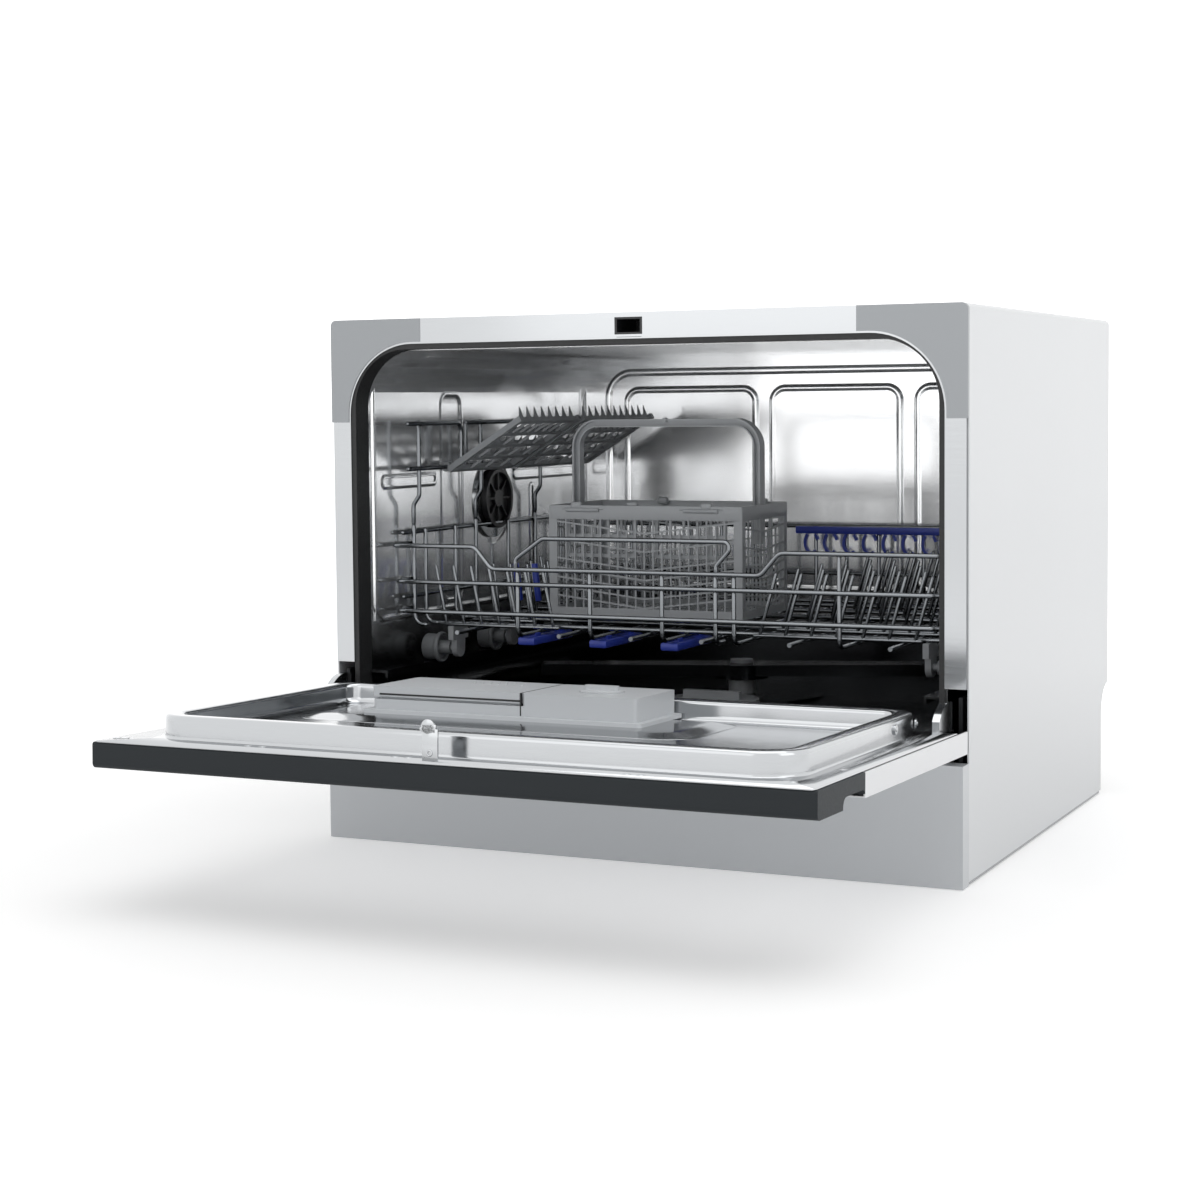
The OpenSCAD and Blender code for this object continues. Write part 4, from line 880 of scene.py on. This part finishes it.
# %% Hoop handle
UPRIGHT = Matrix(((1, 0, 0, 0), (0, 0, 1, 0), (0, 1, 0, 0), (0, 0, 0, 1)))
shape = bmesh.new()
HOOP_MIDDLE, HOOP_FLATNESS, HOOP_FOOT = (x0 + x1) / 2, 1400, 244
hoop_box = (x0 + 1.2, x1 - 1.2, 230, 355)
outer_band = ((0, 174), (0, 186), (1.6, 186), (1.6, 174))
web = ((1.4, 178.5), (1.4, 181.5), (6, 181.5), (6, 178.5))
inner_band = ((5.6, 175.5), (5.6, 184.5), (6.8, 184.5), (6.8, 175.5))
for section in (outer_band, web, inner_band):
    first, last = slope(shape, hoop_box, section, 3, 22)
    bmesh.ops.bridge_loops(shape, edges=first + last)
for v in shape.verts:
    if v.co.y > 300:
        v.co.y -= (v.co.x - HOOP_MIDDLE) ** 2 / HOOP_FLATNESS
everything = shape.verts[:] + shape.edges[:] + shape.faces[:]
cut = bmesh.ops.bisect_plane(shape, geom=everything, plane_co=(0, HOOP_FOOT, 0),
                             plane_no=(0, 1, 0), clear_inner=True)["geom_cut"]
bmesh.ops.holes_fill(shape, edges=[e for e in cut if isinstance(e, bmesh.types.BMEdge)])
bmesh.ops.transform(shape, matrix=UPRIGHT, verts=shape.verts)
bmesh.ops.recalc_face_normals(shape, faces=shape.faces)
tube(shape, (HOOP_MIDDLE, 173.4, 351), (HOOP_MIDDLE, 179, 351), 2.0, 16)
piece("cutlery_hoop", shape, "grey_plastic", "cutlery")

# %% Small loops over the rim
shape = bmesh.new()
for xa, ya in ((-113, 127.0), (8.5, 127.0), (-62, 131.5), (-75, 229.5), (20, 229.5)):
    block(shape, (xa, ya, 275), (xa + 10, ya + 5, 281))
soften(shape, 1.8, 3)
for xa in (-117, -6.5):
    tube(shape, (xa, 127.6, 274), (xa + 31, 127.6, 274), 1.9, 16)
    for xb in (xa - 4, xa + 31):
        tube(shape, (xb, 127.8, 275), (xb + 4, 127.8, 275), 0.8, 10)
piece("cutlery_rim_loops", shape, "grey_plastic", "cutlery")

# %% [markdown]
# ## Cup shelves
#
# Two slatted shelves hang on the rail, hold cups and swing up a little. Each is moulded in one
# piece: long bars, short slats between them, small gussets and a row of points along the free
# edge. Each is drawn lying flat from its pivot rail and turned afterwards, because flat numbers
# are easy to check.

# %% Place of the shelves
SHELF_WIDTH, SHELF_TILT = 88.0, -32
SHELF_BARS = (5.2, 25, 45, 65, 85)


def shelf_matrix():
    """Place of a shelf that is drawn flat along X from the pivot rail."""
    return Matrix.Translation((RAIL_X, 0, PIVOT_Z)) @ Matrix.Rotation(math.radians(SHELF_TILT), 4, "Y")


tip = shelf_matrix() @ Vector((SHELF_WIDTH, 0, 0))
print("the free edge of a shelf lies", round(tip.z - PIVOT_Z, 1), "mm above its rail")


# %% One shelf
def cup_shelf(name, y0, y1, clips, body, node):
    """The slats, bars, points and clips of one shelf."""
    shape = bmesh.new()
    for y in (y0 + 2.5, y1 - 2.5):
        strut(shape, (3.6, y, -4.6), (SHELF_WIDTH, y, -4.6), 5.0, 6.0)
    for x in SHELF_BARS:
        block(shape, (x - 2.2, y0 + 1, -7.4), (x + 2.2, y1 - 1, -5.0))
        block(shape, (x - 0.9, y0 + 1, -5.2), (x + 0.9, y1 - 1, -2.0))
    count = int((y1 - y0 - 8) // 13)
    step = (y1 - y0 - 6) / count
    for i in range(count):
        y = y0 + 3 + step * (i + 0.5)
        for row, x in enumerate(SHELF_BARS[:-1]):
            lean = 4.5 if row % 2 else 2.5
            if (i + row) % 2 == 0 or row == 3:
                strut(shape, (x, y - lean, -5.4), (x + 20, y + lean, -3.6), 1.8, 8.0, (0, 1, 0.35))
        place = Matrix.Translation((SHELF_WIDTH - 2, y, 1.4)) @ Matrix.Rotation(0.35, 4, "Y")
        bmesh.ops.create_cone(shape, cap_ends=True, segments=4, radius1=6.4, radius2=0.6, depth=13,
                              matrix=place @ Matrix.Diagonal((0.32, 1, 1, 1)))
        for x in SHELF_BARS[1:-1]:
            place = Matrix.Translation((x + 2.2, y + 2, -2.6))
            place = place @ Matrix.Rotation(math.radians(55), 4, "Y")
            bmesh.ops.create_cone(shape, cap_ends=True, segments=4, radius1=6.2, radius2=0.5, depth=8.5,
                                  matrix=place @ Matrix.Diagonal((0.4, 1, 1, 1)))
    for y in clips:
        tube(shape, (0, y, 0), (0, y + 8, 0), 4.4, 20, inner=2.15)
        block(shape, (1.6, y, -5.5), (6, y + 8, -2.2))
    made = piece(name, shape, "grey_plastic", body, replaces=[node], place=shelf_matrix())
    made.data.materials[0] = SHADED_GREY_PLASTIC  # painted shade: the shelves get the darker copy of the grey plastic
    return made


print("long bars of a shelf lie at", SHELF_BARS, "mm from its rail")

# %% Front and rear shelf
SHELVES = (("front", 73, 196, (78, 128, 176)), ("rear", 204, 366, (214, 258, 308, 346)))
for end, y0, y1, clips in SHELVES:
    cup_shelf(f"cup_shelf_{end}_lattice", at(y0), at(y1), [at(f) for f in clips], f"shelf_{end}",
              f"cup_shelf_{end}")

# %% [markdown]
# ## Blue pieces
#
# A row of open rings on a strip holds glasses at the rear right. Guards hang under the front floor
# wires, and three tines wear sleeves. All are blue plastic on the wire. A ring is a short
# pipe with a gap cut out of it, then given its thickness.

# %% Strip with open rings
STRIP_Y = (426.45, 430.45)
shape = bmesh.new()
block(shape, (-14, STRIP_Y[0], 238.5), (232, STRIP_Y[1], 245.5))
block(shape, (112, STRIP_Y[0] + 0.5, 217.5), (232, STRIP_Y[1] - 0.5, 220.5))
soften(shape, 0.8, 2)
RING_PITCH = 19.5
for i in range(12):
    x = 2 + RING_PITCH * i
    turn = Matrix.Rotation(math.pi / 2, 4, "X") @ Matrix.Diagonal((0.8, 1.15, 1, 1))
    ring = bmesh.ops.create_cone(shape, cap_ends=False, segments=48, radius1=9.6, radius2=9.6, depth=4,
                                 matrix=Matrix.Translation((x, 428.45, 230)) @ turn)
    gap = [v for v in ring["verts"] if (v.co.x > x + 3 and abs(v.co.z - 227) < 5.5) or v.co.z > 239.5]
    bmesh.ops.delete(shape, geom=gap, context="VERTS")
rings = [f for f in shape.faces if any(len(e.link_faces) == 1 for e in f.edges)]
bmesh.ops.recalc_face_normals(shape, faces=rings)
bmesh.ops.solidify(shape, geom=rings, thickness=2.6)
piece("clip_strip_rings", shape, "blue_plastic", "basket", replaces=["clip_strip"])

# %% Guards under the floor wires
GUARD_X = (-127, -60, 5)
shape = bmesh.new()
for x in GUARD_X:
    block(shape, (x - 9, at(20), 161), (x + 7, at(98), 167.6))
soften(shape, 1.6, 2)
for x in GUARD_X:
    for y in (at(32), at(80)):
        block(shape, (x - 3.2, y, 166), (x + 3.2, y + 8, 170.5))
piece("floor_guard_blocks", shape, "blue_plastic", "basket", replaces=["floor_guards"])

# %% Sleeves on three tines
shape = bmesh.new()
for x in (-191, -172, -153):
    tube(shape, (x - 1.2, at(138), 188), (x - 5.2, at(138), 222), 3.0, 20)
soften(shape, 0.8, 2)
piece("tine_sleeves", shape, "blue_plastic", "basket")

# %% [markdown]
# ## Wheels
#
# Six plastic wheels carry the basket on the rails of the tub and over the door. They are round, so one
# profile is spun about the axle. The outer face has a hollow behind eight spokes and a hub; a black
# disc there paints its shade. The inner face is hollow too, and the profile takes care of that.

# %% Profile of a wheel
AXLE_Z = 152.0
WHEEL_DEPTHS = (60, 166, 308)
WHEEL_PROFILE = [
    (221, 3.2), (221, 5.6), (221.6, 6), (232.2, 6), (232.6, 6.4), (232.6, 11.2), (229.6, 11.6),
    (229.3, 12.4), (230, 13.3), (231.4, 13.5), (232.8, 13.3), (233.8, 12.2), (234.6, 11.3),
    (244.8, 11.5), (245.7, 11.1), (246, 10.3), (246, 9.6), (245.6, 9.3), (244.2, 9.3), (243.6, 9.1),
    (243.6, 4.6), (244.4, 4.4), (245.2, 4.2), (245.4, 3.4), (245.2, 2.3), (244, 2.2)]
print("a wheel is", 2 * max(r for _, r in WHEEL_PROFILE), "mm across")


# %% Turned wheels
def wheel(name, node, side, depth, body):
    """One turned wheel with spokes before a black disc, a painted shade in its hollow."""
    shape = bmesh.new()
    line = [shape.verts.new((side * x, 0, r)) for x, r in WHEEL_PROFILE]
    edges = [shape.edges.new(pair) for pair in zip(line, line[1:])]
    bmesh.ops.spin(shape, geom=line + edges, cent=(0, 0, 0), axis=(1, 0, 0), angle=math.tau, steps=48,
                   use_merge=True)
    bmesh.ops.remove_doubles(shape, verts=shape.verts, dist=0.001)
    bmesh.ops.recalc_face_normals(shape, faces=shape.faces)
    place = Matrix.Translation((0, at(depth), AXLE_Z))
    # A black disc behind the spokes is painted shade in the hollow of the wheel.
    dark = bmesh.new()
    tube(dark, (side * 243.5, 0, 0), (side * 244.4, 0, 0), 9.2, 40)
    piece(name + "_hollow_shade", dark, "black_plastic", body, place=place)
    face = Vector((side * 244.4, 0, 0))
    for i in range(8):
        angle = math.tau * (i + 0.5) / 8
        out = Vector((0, math.cos(angle), math.sin(angle)))
        strut(shape, out * 3.4 + face, out * 9.4 + face, 1.1, 1.6, (1, 0, 0))
    made = piece(name, shape, "grey_plastic", body, replaces=[node], place=place)
    # Painted shade: the wheel gets the darker copy of the grey plastic.
    made.data.materials[0] = SHADED_GREY_PLASTIC
    return made


for side, side_name in ((-1, "left"), (1, "right")):
    for depth, end in zip(WHEEL_DEPTHS, ("front", "middle", "rear")):
        spot = f"{side_name}_{end}"
        wheel(f"wheel_{spot}_turned", f"wheel_{spot}", side, depth, f"roller_{spot}")

# %% [markdown]
# ## Beads of the tub
#
# The rear and side walls are stiffened by raised fields. A rounded bead runs round each field and
# catches a bright and a dark line, which is what shows most in a polished wall. Denting the wall
# itself would need a fine mesh all over, so each bead is a thin ring of sheet laid on the wall.

# %% Beads of the rear wall
EDGE_BEAD = [(-2.8, 0.05), (-1.9, 0.5), (-1.0, 1.3), (0.0, 2.0), (1.1, 2.2), (2.2, 1.9), (3.3, 1.4),
             (4.4, 1.22)]
FLAT_BEAD = [(-2.8, 0.02), (-1.9, 0.4), (-0.9, 1.0), (0.2, 1.25), (1.3, 1.0), (2.3, 0.4), (3.2, 0.02)]
TO_REAR = Matrix(((1, 0, 0, 0), (0, 0, -1, 455), (0, 1, 0, 0), (0, 0, 0, 1)))
shape = bmesh.new()
for box in ((-204, -64, 182, 380), (-48, 83, 182, 380), (99, 230, 182, 380)):
    slope(shape, box, EDGE_BEAD, 14)
slope(shape, (-224, 247, 150, 397), [(i * 1.3, h) for i, h in FLAT_BEAD], 26)
face_up(shape)
piece("rear_wall_beads", shape, "satin_steel", "cabinet", place=TO_REAR)

# %% Beads of the side walls
for side in (-1, 1):
    shape = bmesh.new()
    slope(shape, (30, 449, 181, 393), EDGE_BEAD, 16)
    slope(shape, (152, 189, 190, 375), [(-i, h) for i, h in EDGE_BEAD][::-1], 10)
    for box in ((44, 140, 296, 304), (296, 431, 296, 304), (330, 338, 192, 288)):
        slope(shape, box, [(i, h + 1.2) for i, h in FLAT_BEAD[:5]], 4)
    face_up(shape)
    to_side = Matrix(((0, 0, -side, side * 254), (1, 0, 0, 0), (0, 1, 0, 0), (0, 0, 0, 1)))
    name = "left" if side < 0 else "right"
    piece(f"{name}_wall_beads", shape, "satin_steel", "cabinet", place=to_side)

# %% [markdown]
# ## Vent grille
#
# A round vent with a black cover sits in the left wall of the tub. In the picture it is small and
# dark, so a few plain forms do: a disc, a ring, a hub and eight spokes.

# %% Round grille before the vent
shape = bmesh.new()
VENT = Vector((-250.7, 252, 278))
for length, radius, sides, hole in ((1.2, 27, 48, 0), (5.5, 28, 64, 24), (4.2, 8.5, 32, 0)):
    tube(shape, VENT, VENT + Vector((length, 0, 0)), radius, sides, hole)
spoke = VENT + Vector((2.6, 0, 0))
for i in range(8):
    angle = math.tau * i / 8
    out = Vector((0, math.cos(angle), math.sin(angle)))
    strut(shape, spoke + out * 6, spoke + out * 25, 2.0, 3.0, (1, 0, 0))
soften(shape, 0.4, 1, 50)
piece("vent_grille", shape, "black_plastic", "cabinet")

# %% [markdown]
# ## Lock
#
# A bent steel hook stands on the door and enters an opening in the frame when the door shuts.
# The hook is a flat strip with a round head, so blocks and short tubes make it. A thin dark
# surround lines the opening: an outline filled, inset, and its middle taken out.

# %% Hook of the lock
shape = bmesh.new()
block(shape, (-8, -320, 5.9), (4, -318, 33))
tube(shape, (-3.6, -320, 34.2), (-3.6, -318, 34.2), 5.2, 32)
tube(shape, (-8.2, -320, 32.6), (-8.2, -318, 32.6), 1.7, 20)
block(shape, (-8, -320, 30), (2.6, -318, 36))
tube(shape, (-2, -320.6, 16.5), (-2, -317.4, 16.5), 2.4, 20, inner=1.2)
block(shape, (-16, -324, 5.9), (10, -317, 7.5))
soften(shape, 0.5, 2)
piece("lock_hook", shape, "polished_steel", "door", replaces=["striker"], place=DOOR)

# %% Surround of the lock
shape = bmesh.new()
SURROUND = (-14.2, 14.6, 418.2, 434.6)
fill(shape, outline(shape, SURROUND, 0.45, 5))
middle = shape.faces[:]
bmesh.ops.inset_region(shape, faces=middle, thickness=2.2, use_boundary=True, use_even_offset=True)
bmesh.ops.delete(shape, geom=middle, context="FACES_ONLY")
face_up(shape)
TO_FRAME = Matrix(((1, 0, 0, 0), (0, 0, -1, -0.1), (0, 1, 0, 0), (0, 0, 0, 1)))
piece("lock_surround", shape, "fascia_plastic", "cabinet", place=TO_FRAME, thickness=0.4)

# %% [markdown]
# ## Dispenser
#
# The dispenser on the door holds powder under a sliding lid and rinse aid under a cap. The solids give
# their bodies. Only the fine things are added: black strips on the door that paint the shade in the gap
# between lid and cap, grip ribs on the lid and the ribbed dial of the cap. The ribs and the dial ride
# on the lid and on the cap, so they move with them.

# %% Painted shade in the gaps of the dispenser
shape = bmesh.new()
# Two thin black blocks paint the shade in the gaps around the lid.
block(shape, (-161, -112.35, 29.2), (-38, -111.6, 30.6))
block(shape, (-38.2, -112.2, 18.6), (-37.2, -40, 36.1))
piece("dispenser_gap_shade", shape, "black_plastic", "door", place=DOOR)

# %% Grip ribs of the lid
shape = bmesh.new()
for i in range(7):
    strut(shape, (-62 - 7 * i, -62, 36.1), (-68 - 7 * i, -46, 36.1), 1.6, 0.8, (0, 0, 1))
soften(shape, 0.3, 1)
piece("dispenser_lid_ribs", shape, "dispenser_plastic", "dispenser_cover", place=DOOR)

# %% Dial of the rinse cap
shape = bmesh.new()
centre = Vector((14, -76, 36.6))
for i in range(24):
    angle = math.tau * i / 24
    out = Vector((math.cos(angle), math.sin(angle), 0))
    strut(shape, centre + out * 12.5, centre + out * 16.4, 1.0, 1.0, (0, 0, 1))
tube(shape, (14, -76, 36.4), (14, -76, 37.6), 11.2, 40)
soften(shape, 0.25, 1, 60)
piece("rinse_cap_ribs", shape, "dispenser_plastic", "rinse_plug", place=DOOR)

# %% [markdown]
# ## Softened edges
#
# No moulded or folded part has a knife edge. The solids have, so a small bevel modifier rounds
# those that show. It leaves the mesh of the solid as it is.

# %% Bevels on solids that show
SOFT_EDGES = {"dispenser_body": 1.6, "dispenser_lid": 1.4, "rinse_cap": 0.8, "door_arms": 1.0,
              "control_fascia": 0.5, "door_panel": 0.7, "plinth_panel": 0.7, "spray_arm": 1.0,
              "vent_cap": 0.5}
for node_name, width in SOFT_EDGES.items():
    edge = nodes[node_name].modifiers.new("soft_edges", "BEVEL")
    edge.width = width * MM
    edge.segments = 3
    edge.limit_method = "ANGLE"
    edge.angle_limit = math.radians(40)
    edge.harden_normals = True
print("softened", len(SOFT_EDGES), "solids")
